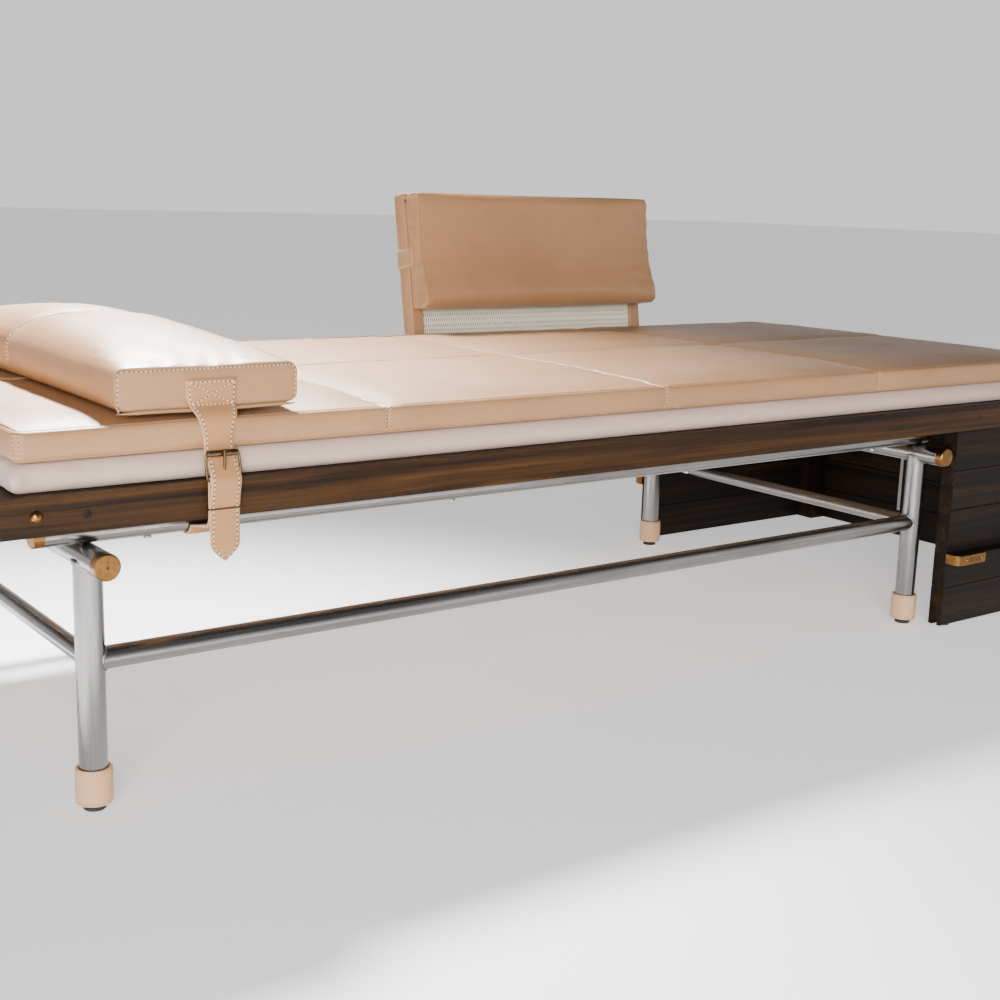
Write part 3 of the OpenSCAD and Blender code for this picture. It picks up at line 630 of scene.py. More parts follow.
# Round a box's outline at one height
def roundOutline(low, high, inset, z, radius, step=6.0):
    x0, x1, y0, y1 = low[0] + inset, high[0] - inset, low[1] + inset, high[1] - inset
    run, facing = [], []
    corners = ((x1 - radius, y0 + radius, -90), (x1 - radius, y1 - radius, 0),
               (x0 + radius, y1 - radius, 90), (x0 + radius, y0 + radius, 180))
    for n, (cx, cy, start) in enumerate(corners):
        for a in np.radians(np.linspace(start, start + 90, 9)):
            run.append((cx + radius * math.cos(a), cy + radius * math.sin(a), z))
            facing.append((math.cos(a), math.sin(a), 0.0))
        nx, ny, _ = corners[(n + 1) % 4]
        end = math.radians(start + 90)
        a = np.array(run[-1])
        b = np.array((nx + radius * math.cos(end), ny + radius * math.sin(end), z))
        for f in np.arange(step, np.linalg.norm(b - a) - step / 2, step):
            run.append(tuple(a + (b - a) * f / np.linalg.norm(b - a)))
            facing.append(facing[-1])
    return np.array(run), np.array(facing)


# Mattress: four leather panels, double-stitched between them
mattress = {
    "panels": (438, 880, 1318), "radii": (12, 12, 9), "seamOffset": 3.4, "stitchPitch": 4.6,
    "seamSoft": 2.3, "seamSharp": 1.4, "wrinkle": 0.95, "crown": 8.5, "welt": 1.15,
    "pressure": 4.0, "cap": 3.0,
}


def mattressPiece():
    low, high, radii = mattressLow, mattressHigh, mattress["radii"]
    seams = [low[0] + x for x in mattress["panels"]]
    xs = stations(low[0], high[0], 9, 12, seams)
    ys = stations(low[1], high[1], 9, 12, [bedY])
    zs = stations(low[2], high[2], 5, 9)
    skin, faces = boxSkin(xs, ys, zs)
    points, facing = rounded(skin, low, high, radii)

    def held(start):
        seam = np.min([np.abs(start[:, 0] - x) for x in seams] + [np.abs(start[:, 1] - bedY)], 0)
        x, y, z = start.T
        brim = np.min([x - low[0], high[0] - x, y - low[1], high[1] - y], 0)
        rim = (z > high[2] - 5) & (brim < 12)
        under = (x < pillowHigh[0] + 12) & (x > pillowLow[0] - 12) & (z > high[2] - 5)
        fixed = (seam < 8) | rim | under | (z < low[2] + 4)
        return np.where(fixed, 1.0, np.where(seam < 18, 0.5, 0.0))

    settled = carried(points, faces, 10.0, mattress["pressure"], mattress["cap"], held)
    top = np.clip(facing[:, 2], 0, 1) ** 2
    cross = np.min([np.abs(points[:, 0] - x) for x in seams], 0)
    middle = np.abs(points[:, 1] - bedY)
    upper = np.clip((points[:, 2] - low[2] - 3) / 8, 0, 1)
    sink = upper * dip(cross, mattress["seamSoft"], 13, mattress["seamSharp"], 1.5)
    sink += top * dip(middle, mattress["seamSoft"] * 0.8, 15, mattress["seamSharp"], 1.5)
    fold = ripple(points * (0.25, 1, 1), 26, 3) * np.exp(-cross / 20)
    fold += top * ripple(points * (1, 0.25, 1), 30, 4) * np.exp(-middle / 18)
    edge = np.min([points[:, 1] - low[1], high[1] - points[:, 1]], 0)
    rise = -mattress["crown"] * top * np.exp(-edge / 60)
    slack = 0.5 * ripple(points, 150, 5) + 0.25 * ripple(points, 60, 6)
    slack += (1 - top) * 0.55 * ripple(points * (1, 1, 0.5), 55, 7) * upper
    level = (points[:, 2] - low[2]) / (high[2] - low[2])
    side = (1 - np.abs(facing[:, 2])) * 1.4 * np.sin(math.pi * level) ** 2
    under = facing[:, 2] > -0.3
    points = settled + facing * ((rise + slack + side + mattress["wrinkle"] * fold - sink) * under)[:, None]
    piece = makePiece("mattress_leather", points, faces, tanLeather, "bed", "tan_leather")
    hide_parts("mattress")

    tree = BVHTree.FromPolygons(points.tolist(), faces)
    runs = []
    for x in seams:
        for side in (-1, 1):
            run, ways = overSection(x + side * mattress["seamOffset"], low, high, 12, 9)
            runs.append(layOn(tree, run, ways))
    for side in (-1, 1):
        line = np.arange(low[0] + 8, high[0] - 8, 3.0)
        run = np.stack([line, np.full(len(line), bedY + side * mattress["seamOffset"]),
                        np.full(len(line), high[2])], 1)
        runs.append(layOn(tree, run, np.tile((0.0, 0.0, 1.0), (len(run), 1))))
    for x, y, sx, sy in ((low[0], low[1], 1, 1), (low[0], high[1], 1, -1),
                         (high[0], low[1], -1, 1), (high[0], high[1], -1, -1)):
        for turn in (0.35, 0.65):
            way = np.array((-sx * math.cos(turn * math.pi / 2), -sy * math.sin(turn * math.pi / 2), 0.0))
            up = np.arange(low[2] + 6, high[2] - 6, 2.0)
            run = np.stack([np.full(len(up), x + sx * 12), np.full(len(up), y + sy * 12), up], 1) + way * 12
            runs.append(layOn(tree, run, np.tile(way, (len(run), 1))))
    sew("mattress_stitches", runs, mattress["stitchPitch"], 3.1, 0.68, camelThread, "bed", "tan_leather")

    welts = []
    for z, sign in ((high[2] - 3.0, 1), (low[2] + 3.5, -1)):
        run, ways = roundOutline(low, high, 2.2, z, 10.5)
        ways = ways * 0.75 + np.array((0, 0, 0.65 * sign))
        run, ways = layOn(tree, run, ways)
        welts.append(cordMesh(run + ways * 0.25, mattress["welt"], 6, True))
    makePiece("mattress_welts", *joined(welts), tanLeather, "bed", "tan_leather")


# Base pad: plain woven cloth, puckered at the head end
basePad = {
    "pressure": 5.0, "cap": 3.5, "radii": (9, 9, 13), "slack": 2.3, "pucker": 4.6,
    "seamAt": 1232, "stitchPitch": 4.2,
}


def basePiece():
    low, high = baseLow, baseHigh
    seam = low[0] + basePad["seamAt"] - 347
    xs = stations(low[0], high[0], 10, 9, [seam])
    ys = stations(low[1], high[1], 14, 9)
    zs = stations(low[2], high[2], 3.5, 8)
    skin, faces = boxSkin(xs, ys, zs)
    points, facing = rounded(skin, low, high, basePad["radii"])

    def held(start):
        pressed = (start[:, 2] < low[2] + 3) | (start[:, 2] > high[2] - 3)
        close = np.abs(start[:, 0] - seam) < 12
        return np.where(pressed, 1.0, np.where(close, 0.5, 0.0))

    settled = carried(points, faces, 10.0, basePad["pressure"], basePad["cap"], held)
    level = (points[:, 2] - low[2]) / (high[2] - low[2])
    side = (1 - np.abs(facing[:, 2])) * 1.6 * np.sin(math.pi * level) ** 2
    corner = np.min([np.hypot(points[:, 0] - low[0], points[:, 1] - y) for y in (low[1], high[1])], 0)
    pull = ripple(points * (1, 1, 0.35), 24, 11) * np.exp(-corner / 90)
    slack = basePad["slack"] * ripple(points, 110, 12) * (1 - np.abs(facing[:, 2]))
    slack += 0.95 * ripple(points, 38, 13) * (1 - np.abs(facing[:, 2]))
    sink = dip(np.abs(points[:, 0] - seam), 1.2, 10, 0.9, 1.4) * (1 - np.abs(facing[:, 2]))
    move = side + slack + basePad["pucker"] * pull * (1 - np.abs(facing[:, 2])) - sink
    points = settled + facing * move[:, None]
    piece = makePiece("base_pad_cloth", points, faces, baseFabric, "bed", "base_fabric")
    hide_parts("base_pad")
    tree = BVHTree.FromPolygons(points.tolist(), faces)
    runs = []
    for y, way in ((low[1], -1.0), (high[1], 1.0)):
        for off in (-2.4, 2.4):
            up = np.arange(low[2] + 4, high[2] - 4, 2.0)
            run = np.stack([np.full(len(up), seam + off), np.full(len(up), y), up], 1)
            runs.append(layOn(tree, run, np.tile((0.0, way, 0.0), (len(run), 1))))
    sew("base_pad_stitches", runs, basePad["stitchPitch"], 2.9, 0.4, creamThread, "bed", "base_fabric")


# Head pillow: boxed ends, a full round middle and one sewn seam across it
pillow = {
    "endHeight": 50.0, "endSquare": 7.0, "middleRound": 2.25, "seamSink": 4.2, "seamReach": 20.0,
    "voxel": 6.0, "pressure": 4.0, "cap": 5.0, "stitchPitch": 5.2, "stitchInset": 4.0, "lip": 2.1,
}


def pillowShape(s, v, t):
    half = (pillowHigh - pillowLow) / 2
    centre = (pillowLow + pillowHigh) / 2
    rise = (1 - np.abs(v) ** 2.3) * 0.86
    height = pillow["endHeight"] + (pillowHigh[2] - pillowLow[2] - pillow["endHeight"]) * rise
    square = pillow["middleRound"] + (pillow["endSquare"] - pillow["middleRound"]) * np.abs(v) ** 5
    square = np.where(t > 0, square, 6.0)
    reach = np.maximum(np.maximum(np.abs(s), np.abs(t)), 1e-9)
    scale = (np.abs(s / reach) ** square + np.abs(t / reach) ** square) ** (-1 / square)
    x = centre[0] + s * scale * (half[0] + 2.5 * (1 - np.abs(v) ** 4) * (1 - np.abs(t)))
    y = centre[1] + v * half[1]
    z = pillowLow[2] + height * (1 + t * scale) / 2
    return np.stack([x, y, z], 1)


def endRun(end, inset, step=2.0):
    half = (pillowHigh[0] - pillowLow[0]) / 2
    centre = (pillowLow[0] + pillowHigh[0]) / 2
    y = pillowHigh[1] if end > 0 else pillowLow[1]
    low, high = pillowLow[2] + 3, pillowLow[2] + pillow["endHeight"] - inset
    w, r = half - inset, 7.0
    run = [(-w, z) for z in np.arange(low, high - r, step)]
    run += [(-w + r - r * math.cos(a), high - r + r * math.sin(a)) for a in np.linspace(0, math.pi / 2, 6)]
    run += [(x, high) for x in np.arange(-w + r + step, w - r, step)]
    run += [(w - r + r * math.sin(a), high - r + r * math.cos(a)) for a in np.linspace(0, math.pi / 2, 6)]
    run += [(w, z) for z in np.arange(high - r - step, low, -step)]
    return np.array([(centre + x, y, z) for x, z in run])


def pillowPiece():
    steps = [-1, -0.97, -0.93, -0.86] + list(np.linspace(-0.78, 0.78, 14)) + [0.86, 0.93, 0.97, 1]
    across = [-1, -0.995, -0.985, -0.965] + list(np.linspace(-0.94, 0.94, 55)) + [0.965, 0.985, 0.995, 1]
    skin, faces = boxSkin(steps, across, [-1, -0.9, -0.7, -0.4, -0.1, 0.2, 0.5, 0.75, 0.9, 1])
    points = pillowShape(skin[:, 0], skin[:, 1], skin[:, 2])
    rims = [endRun(end, 0.5) for end in (-1, 1)]
    seamAngles = np.linspace(-0.15 * math.pi, 1.15 * math.pi, 90)
    s, t = np.cos(seamAngles), np.sin(seamAngles)
    big = np.maximum(np.abs(s), np.abs(t))
    seamLine = pillowShape(s / big, np.zeros(90), t / big)
    centre = (pillowLow + pillowHigh) / 2

    def held(start):
        rim = np.minimum(distanceTo(start, rims[0]), distanceTo(start, rims[1]))
        low = start[:, 2] < pillowLow[2] + 4
        return np.where((rim < 6) | low, 1.0, np.where(rim < 10, 0.5, 0.0))

    points, faces = swell(points, faces, pillow["voxel"], pillow["pressure"], pillow["cap"], held)
    facing = facingOf(points, faces)
    fromSeam = np.abs(points[:, 1] - centre[1])
    soft = pillow["seamSink"] * np.exp(-(fromSeam / pillow["seamReach"]) ** 1.2)
    above = np.clip((points[:, 2] - pillowLow[2] - 6) / 15, 0, 1)
    fold = 0.7 * ripple(points * (1, 0.3, 1), 30, 21) * np.exp(-fromSeam / 28)
    toEnd = np.min([np.abs(points[:, 1] - pillowLow[1]), np.abs(points[:, 1] - pillowHigh[1])], 0)
    crease = 0.7 * ripple(points * (1, 0.4, 1), 28, 22) * np.exp(-toEnd / 34)
    flat = 0.6 * ripple(points, 90, 23)
    points = points + facing * ((fold + crease + flat - soft) * above)[:, None]
    points[:, 2] = np.maximum(points[:, 2], pillowLow[2])
    piece = makePiece("pillow_leather", points, faces, tanLeather, "bed", "tan_leather")
    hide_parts("head_pillow")

    tree = BVHTree.FromPolygons(points.tolist(), faces)
    runs, welts = [], []
    for end in (-1, 1):
        way = np.array((0.0, float(end), 0.0))
        run = endRun(end, pillow["stitchInset"])
        runs.append(layOn(tree, run, np.tile(way, (len(run), 1))))
        rim = endRun(end, 0.4)
        mid = np.array((centre[0], rim[0][1], pillowLow[2] + 22.0))
        out = rim - mid
        out /= np.linalg.norm(out, axis=1)[:, None]
        spots, ways = layOn(tree, rim - way * 1.0, out * 0.7 + way * 0.7)
        welts.append(cordMesh(spots + ways * 0.3, 1.3, 6))
        ends = [(pillowLow[0] + 3, centre[1] + end * (pillowHigh[1] - centre[1] - 3)),
                (pillowHigh[0] - 3, centre[1] + end * (pillowHigh[1] - centre[1] - 3))]
        lip = [(x, y + end * 3.4, pillowLow[2] + 2.2) for x, y in ends]
        line = np.array([np.array(lip[0]) * (1 - f) + np.array(lip[1]) * f for f in np.linspace(0, 1, 30)])
        line[0, 1] -= end * 4
        line[-1, 1] -= end * 4
        line[:, 2] += 0.5 * np.sin(np.linspace(0, 9, 30))
        lipRadii = pillow["lip"] * np.minimum(1, 0.25 + np.minimum(np.arange(30), 29 - np.arange(30)) / 4)
        welts.append(cordMesh(line, pillow["lip"], 8, False, lipRadii))
    out = seamLine - np.array((centre[0], centre[1], pillowLow[2] + 30.0))
    out /= np.linalg.norm(out, axis=1)[:, None]
    for side in (-1, 1):
        runs.append(layOn(tree, seamLine + (0, side * 3.2, 0), out, 25.0))
    sew("pillow_stitches", runs, pillow["stitchPitch"], 3.5, 0.7, creamThread, "bed", "tan_leather")
    makePiece("pillow_welts", *joined(welts), tanLeather, "bed", "tan_leather")
    groove, ways = layOn(tree, seamLine, out, 25.0)
    makePiece("pillow_seam", *cordMesh(groove - ways * 0.3, 0.9, 6), tanLeather, "bed", "tan_leather")


# Backrest parts are drawn upright in the stiles' own frame, then leaned back
stileLow, stileHigh = boxOf("back_stile_left")
stileFar = boxOf("back_stile_right")[1]
backMiddle = (stileLow[0] + stileFar[0]) / 2
backHalf = (stileFar[0] - stileLow[0]) / 2
stileWidth = stileHigh[0] - stileLow[0]
back = {"stileLength": 365.0, "stileDepth": 32.0, "padLow": 156.0, "padTop": 362.0}
backFoot = np.array((backMiddle, stileLow[1], stileHigh[2] - back["stileLength"] * math.cos(recline)))


def leaned(points):
    points = np.asarray(points, float)
    c, s = math.cos(recline), math.sin(recline)
    return backFoot + np.stack([points[:, 0], points[:, 1] * c + points[:, 2] * s,
                                points[:, 2] * c - points[:, 1] * s], 1)


# Back pad: thin at the waist, full at the bottom, flat boxed ends
backPad = {
    "profile": ((156, 46), (162, 53), (172, 56.5), (186, 55), (206, 49.5), (231, 43), (258, 39.5),
                (291, 39), (326, 42), (346, 44.5), (362, 44)),
    "voxel": 5.0, "pressure": 4.0, "cap": 3.2, "stitchPitch": 4.8, "gusset": 3.4,
}


def padDepth(z):
    heights, depths = zip(*backPad["profile"])
    total = 0
    for shift in (-9, -4.5, 0, 4.5, 9):
        total = total + np.interp(z + shift, heights, depths)
    return total / 5


def backPadPiece():
    low, high = np.array((-backHalf, 0, back["padLow"])), np.array((backHalf, 50, back["padTop"]))
    xs = stations(low[0], high[0], 8, 8)
    ys = stations(0, 50, 6, 8)
    zs = stations(low[2], high[2], 6, 11)
    skin, faces = boxSkin(xs, ys, zs)
    points, _ = rounded(skin, low, high, (6, 9, 11))
    points[:, 1] = -0.6 - points[:, 1] * padDepth(points[:, 2]) / 50
    faces = [tuple(reversed(f)) for f in faces]

    def edgeRun(side, inset):
        heights = np.linspace(back["padLow"] + 8, back["padTop"] - 8, 60)
        run = [(side * (backHalf - inset), -0.6 - padDepth(z), z) for z in heights]
        over = [(side * (backHalf - inset), y, back["padTop"]) for y in np.linspace(-37, -3, 10)]
        under = [(side * (backHalf - inset), y, back["padLow"]) for y in np.linspace(-3, -42, 10)]
        return np.array(under + run + over)

    rims = [edgeRun(side, 1.0) for side in (-1, 1)]

    def held(start):
        rim = np.minimum(distanceTo(start, rims[0]), distanceTo(start, rims[1]))
        rear = start[:, 1] > -5
        return np.where((rim < 5) | rear, 1.0, np.where(rim < 9, 0.5, 0.0))

    points, faces = swell(points, faces, backPad["voxel"], backPad["pressure"], backPad["cap"], held)
    facing = facingOf(points, faces)
    ends = backHalf - np.abs(points[:, 0])
    front = np.clip((-points[:, 1] - 8) / 12, 0, 1)
    fold = 1.3 * ripple(points * (0.22, 0.5, 1.3), 30, 31) * np.exp(-ends / 42)
    move = fold * front + 0.45 * ripple(points, 120, 32) * front
    gusset = np.clip(1 - ends / 5, 0, 1) * front
    move += 1.3 * gusset * ripple(points * (0, 0.8, 1), 26, 33)
    move -= front * dip(np.abs(ends - 7.5), 0.5, 5, 0.5, 1.4)
    points = points + facing * move[:, None]
    points[:, 1] = np.minimum(points[:, 1], -0.4)
    piece = makePiece("back_pad_leather", leaned(points), faces, tanLeather, "backrest", "tan_leather")
    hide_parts("back_pad")

    tree = BVHTree.FromPolygons(points.tolist(), faces)
    runs, welts = [], []
    for side in (-1, 1):
        for inset in (5.0, 10.0):
            run = edgeRun(side, inset)
            out = np.array([(0.0, -1.0, 0.0)] * len(run))
            out[:10] = (0, -0.3, -1)
            out[-10:] = (0, -0.2, 1)
            runs.append(layOn(tree, run, out))
        out = np.array([(side * 0.7, -0.7, 0.0)] * len(run))
        out[:10] = (side * 0.7, 0, -0.7)
        out[-10:] = (side * 0.7, 0, 0.7)
        spots, ways = layOn(tree, edgeRun(side, 1.5), out)
        welts.append(cordMesh(leaned(spots + ways * 0.2), 1.2, 6))
    sew("back_pad_stitches", runs, backPad["stitchPitch"], 3.2, 0.55, camelThread,
        "backrest", "tan_leather", leaned)
    makePiece("back_pad_welts", *joined(welts), tanLeather, "backrest", "tan_leather")


# Stiles: timber wrapped in leather, sewn up the outer side
def stilePieces():
    runs = []
    for side, name in ((-1, "left"), (1, "right")):
        x = side * (backHalf - stileWidth / 2)
        low = np.array((x - stileWidth / 2, 0, 0))
        high = np.array((x + stileWidth / 2, back["stileDepth"], back["stileLength"]))
        skin, faces = boxSkin(stations(low[0], high[0], 6, 4), stations(low[1], high[1], 6, 4),
                              stations(low[2], high[2], 7, 4))
        points, facing = rounded(skin, low, high, (3.5, 3.5, 3.5))
        seam = np.abs(points[:, 1] - 22) + 40 * (facing[:, 0] * side < 0.5)
        move = 0.25 * ripple(points * (1, 1, 0.4), 30, 41) - dip(seam, 0.3, 4, 0.5, 1.2)
        shown = np.clip((points[:, 2] - 64) / 8, 0, 1)
        points = points + facing * (move * shown)[:, None]
        piece = makePiece("stile_" + name, leaned(points), faces, tanLeather, "backrest", "tan_leather")
        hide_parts("back_stile_" + name)
        up = np.arange(70, back["stileLength"] - 8, 3.0)
        for y in (20.2, 23.8):
            run = np.stack([np.full(len(up), x + side * stileWidth / 2), np.full(len(up), y), up], 1)
            runs.append((run, np.tile((float(side), 0.0, 0.0), (len(up), 1))))
    sew("stile_stitches", runs, 4.6, 3.0, 0.45, camelThread, "backrest", "tan_leather", leaned)


# Domed rivets near the top of the pad's boxed ends
def rivetPieces():
    parts = []
    profile = [(3.4, 0), (3.4, 0.5), (3.0, 1.0), (2.2, 1.5), (1.3, 1.8), (0.5, 1.9), (0.02, 1.92)]
    for side in (-1, 1):
        points, faces = [], []
        for out, (r, h) in enumerate(profile):
            for a in np.arange(16) * math.pi / 8:
                level = back["padTop"] - 12 + r * math.sin(a)
                points.append((side * (backHalf + 1.2 + h), -9 + r * math.cos(a), level))
                if out and len(points) % 16:
                    n = len(points) - 1
                    faces.append((n - 16, n - 15, n + 1, n))
            if out:
                faces.append((len(points) - 17, len(points) - 32, len(points) - 16, len(points) - 1))
        faces.append(tuple(range(len(points) - 16, len(points))))
        parts.append((np.array(points), faces))
    points, faces = joined(parts)
    makePiece("back_pad_rivets", leaned(points), faces, antique, "backrest", "antique_brass")


# A flat leather strap along a path, with a rounded, paler cut edge
def strapMesh(path, widths, thickness, columns=9):
    path = np.asarray(path, float)
    heading = np.gradient(path[:, 1:], axis=0)
    heading /= np.maximum(np.linalg.norm(heading, axis=1), 1e-9)[:, None]
    out = np.stack([np.zeros(len(path)), heading[:, 1], -heading[:, 0]], 1)
    spread = np.linspace(-1, 1, columns)
    points = []
    for p, n, w in zip(path, out, widths):
        inner = max(w - 0.55, w * 0.4)
        offs = [-w] + list(spread * inner) + [w]
        thick = [0.62] + [1] * columns + [0.62]
        points += [p + (x, 0, 0) + n * t * thickness / 2 for x, t in zip(offs, thick)]
        points += [p + (x, 0, 0) - n * t * thickness / 2 for x, t in zip(offs[::-1], thick[::-1])]
    ring = 2 * (columns + 2)
    faces, edges = [], []
    for i in range(len(path) - 1):
        for j in range(ring):
            a, b = i * ring + j, i * ring + (j + 1) % ring
            if j in (0, columns, columns + 1, columns + 2, ring - 2, ring - 1):
                edges.append(len(faces))
            faces.append((a, b, b + ring, a + ring))
    edges += [len(faces), len(faces) + 1]
    faces.append(tuple(reversed(range(ring))))
    faces.append(tuple(range((len(path) - 1) * ring, len(path) * ring)))
    return np.array(points), faces, edges, out


# Pillow straps: a wide sewn tab, a buckle and a pointed tail
strap = {
    "path": ((354.3, 479.4), (354.3, 456), (356.5, 450.5), (364, 445.5), (369.2, 438.5), (370.3, 431),
             (370.3, 408), (372.4, 402), (389.2, 377.5), (389.4, 370), (386.5, 360), (384.3, 350),
             (383.6, 338), (383.5, 300), (383.5, 283)),
    "middle": -787.5, "width": 35.0, "tab": 60.0, "thickness": 2.6, "tip": 21.0,
    "stitchInset": 3.6, "stitchPitch": 5.4, "tabStitch": 28.0,
    "anchor": ((380.6, 369), (380.6, 332), (378.5, 326), (374.5, 321.5)),
    "bearer": (317.0, 318.0), "wrap": 15.6, "end": ((297.5, 329.4), (279.5, 329.4)),
}


def strapWidth(z, top, tip):
    half, wide = strap["width"] / 2, strap["tab"] / 2
    narrow = np.interp(top - z, (0, 20, 30, 37, 45, 55, 62), (1, 0.93, 0.72, 0.5, 0.26, 0.07, 0))
    width = half + (wide - half) * narrow
    point = np.clip((tip + strap["tip"] - z) / strap["tip"], 0, 1)
    return width * np.maximum(1 - point ** 1.8, 0.03)


def strapPieces():
    top, tip = strap["path"][0][1], strap["path"][-1][1]
    fine = smoothPath(strap["path"], 3)
    lengths = np.concatenate([[0], np.cumsum(np.linalg.norm(np.diff(fine, axis=0), axis=1))])
    plain = np.arange(0, lengths[-1] - 24, 2.2)
    marks = np.concatenate([plain, np.linspace(lengths[-1] - 23, lengths[-1], 18)])
    fine = np.stack([np.interp(marks, lengths, fine[:, n]) for n in range(2)], 1)
    widths = strapWidth(fine[:, 1], top, tip)
    for side, name in ((-1, "front"), (1, "rear")):
        path = np.array([(strap["middle"], bedY + side * y, z) for y, z in fine])
        points, faces, edges, out = strapMesh(path, widths, strap["thickness"])
        if side > 0:
            faces = [tuple(reversed(f)) for f in faces]
        out = out * np.sign(out[:5, 1].mean() * side)
        piece = makePiece("strap_" + name, points, faces, strapLeather, "bed", "strap_leather",
                          edgeFaces=edges, edgeFinish=strapEdge)
        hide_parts("pillow_strap_" + name)
        runs = []
        depth = strap["thickness"] / 2
        shown = slice(1, -3)
        for edge in (-1, 1):
            run = path + out * depth
            run[:, 0] += edge * np.maximum(widths - strap["stitchInset"], 0.2)
            runs.append((run[shown], out[shown]))
        tab = strap["tab"] / 2 - strap["stitchInset"]
        z0, z1 = top - 2.8, top - strap["tabStitch"]
        corners = [((-tab, z0), (tab, z0)), ((-tab * 0.93, z1), (tab * 0.93, z1)),
                   ((-tab, z0), (tab * 0.93, z1)), ((tab, z0), (-tab * 0.93, z1))]
        for (xa, za), (xb, zb) in corners:
            share = np.linspace(0, 1, 14)
            z = za + (zb - za) * share
            y = np.interp(-z, -fine[:, 1], fine[:, 0])
            way = np.stack([np.interp(-z, -fine[:, 1], out[:, n]) for n in range(3)], 1)
            run = np.stack([strap["middle"] + xa + (xb - xa) * share, bedY + side * y, z], 1) + way * depth
            runs.append((run, way))
        sew("strap_stitches_" + name, runs, strap["stitchPitch"], 3.5, 0.8, creamThread,
            "bed", "strap_leather")

        cy, cz = strap["bearer"]
        heel = 383.45, 373.0
        loop = [(heel[0] + 2.85 * math.cos(a), heel[1] + 2.85 * math.sin(a))
                for a in np.radians(np.arange(-75, 181, 15))]
        wrap = [(cy + strap["wrap"] * math.cos(a), cz + strap["wrap"] * math.sin(a))
                for a in np.radians(np.arange(-15, -166, -12))]
        anchorPath = loop + list(smoothPath(np.array(strap["anchor"]), 2)) + wrap + list(strap["end"])
        path = np.array([(strap["middle"], bedY + side * y, z) for y, z in anchorPath])
        points, faces, edges, _ = strapMesh(path, np.full(len(path), strap["width"] / 2), 2.5)
        piece = makePiece("anchor_" + name, points, faces, strapLeather, "bed", "strap_leather",
                          edgeFaces=edges, edgeFinish=strapEdge)
        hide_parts("anchor_strap_" + name)


# Buckle frames and wire keepers
hardware = {
    "bar": 1.5, "bow": 0.9, "half": 19.2, "keeper": 1.0,
    "heel": (383.45, 373.0), "top": (379.15, 402.0),
}


def hardwarePieces():
    loops = []
    for side, name in ((-1, "front"), (1, "rear")):
        h, bow = hardware["half"], hardware["bow"]
        rise = np.array(hardware["top"]) - np.array(hardware["heel"])
        half = [(h - 4, 0), (h - 1.2, 0), (h - 0.2, 0.05), (h + bow * 0.4, 0.15), (h + bow, 0.4),
                (h + bow, 0.6), (h + bow * 0.4, 0.85), (h - 0.2, 0.95), (h - 1.2, 1), (h - 4, 1)]
        ring = smoothPath(np.array(half + [(-x, t) for x, t in reversed(half)], float), 2, True)
        path = [(strap["middle"] + x, bedY + side * (hardware["heel"][0] + rise[0] * t),
                 hardware["heel"][1] + rise[1] * t) for x, t in ring]
        piece = makePiece("buckle_frame_" + name, *cordMesh(path, hardware["bar"], 10, True),
                          antique, "bed", "antique_brass")
        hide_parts("buckle_" + name)
        low, high = boxOf("strap_keepers")
        half = (high[0] - low[0]) / 2 - 1
        z = (low[2] + high[2]) / 2
        inner, outer = 378.0, 386.1
        corners = [(-half, inner + 1.5), (-half + 1.5, inner), (half - 1.5, inner), (half, inner + 1.5),
                   (half + 0.4, outer - 1.5), (half - 1.5, outer), (-half + 1.5, outer),
                   (-half - 0.4, outer - 1.5)]
        ring = smoothPath(np.array(corners), 3, True)
        path = [(strap["middle"] + x, bedY + side * y, z) for x, y in ring]
        loops.append(cordMesh(path, hardware["keeper"], 8, True))
    piece = makePiece("keeper_wires", *joined(loops), antique, "bed", "antique_brass")
    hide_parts("strap_keepers")


# Leather loops that hold the back pad to the stiles
def loopPieces():
    parts, runs, edgeFaces, count = [], [], [], 0
    low, high = 234.0, 266.0
    for side in (-1, 1):
        outer = backHalf + 1.6
        inner = backHalf - stileWidth
        rear = back["stileDepth"] + 1.6
        path = [(outer - 1, -15.5), (outer, -6), (outer, 10), (outer, rear - 5), (outer - 1.5, rear - 1.2),
                (outer - 5, rear), (inner + 8, rear), (inner + 1, rear)]
        path = smoothPath(np.array(path), 2)
        flat = np.array([((low + high) / 2, x, y) for x, y in path])
        points, faces, edges, out = strapMesh(flat, np.full(len(flat), (high - low) / 2), 2.4, 7)
        points = np.stack([points[:, 1] * side, points[:, 2], points[:, 0]], 1)
        parts.append((leaned(points), faces if side > 0 else [tuple(reversed(f)) for f in faces]))
        edgeFaces += [count + e for e in edges]
        count += len(faces)
        for z in (low + 3, high - 3):
            line = np.array([(side * (backHalf + 2.9), y, z) for y in np.linspace(-13, 28, 20)])
            runs.append((line, np.tile((float(side), 0.0, 0.0), (20, 1))))
        for y in (-12.5, 27.0):
            line = np.array([(side * (backHalf + 2.9), y, z) for z in np.linspace(low + 3, high - 3, 12)])
            runs.append((line, np.tile((float(side), 0.0, 0.0), (12, 1))))
    points, faces = joined(parts)
    piece = makePiece("back_loops", points, faces, tanLeather, "backrest", "tan_leather",
                      edgeFaces=edgeFaces, edgeFinish=strapEdge)
    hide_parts("back_pad_loops")
    sew("back_loop_stitches", runs, 4.4, 3.0, 0.55, creamThread, "backrest", "tan_leather", leaned)


# Woven panel: waved cords over the back's two rails, tied by cross cords, with a near-black sheet inside as
# painted shade seen between the cords
cords = {"pitch": 2.1, "radius": 0.88, "sway": 0.58, "wave": 19.0, "cross": 0.7}


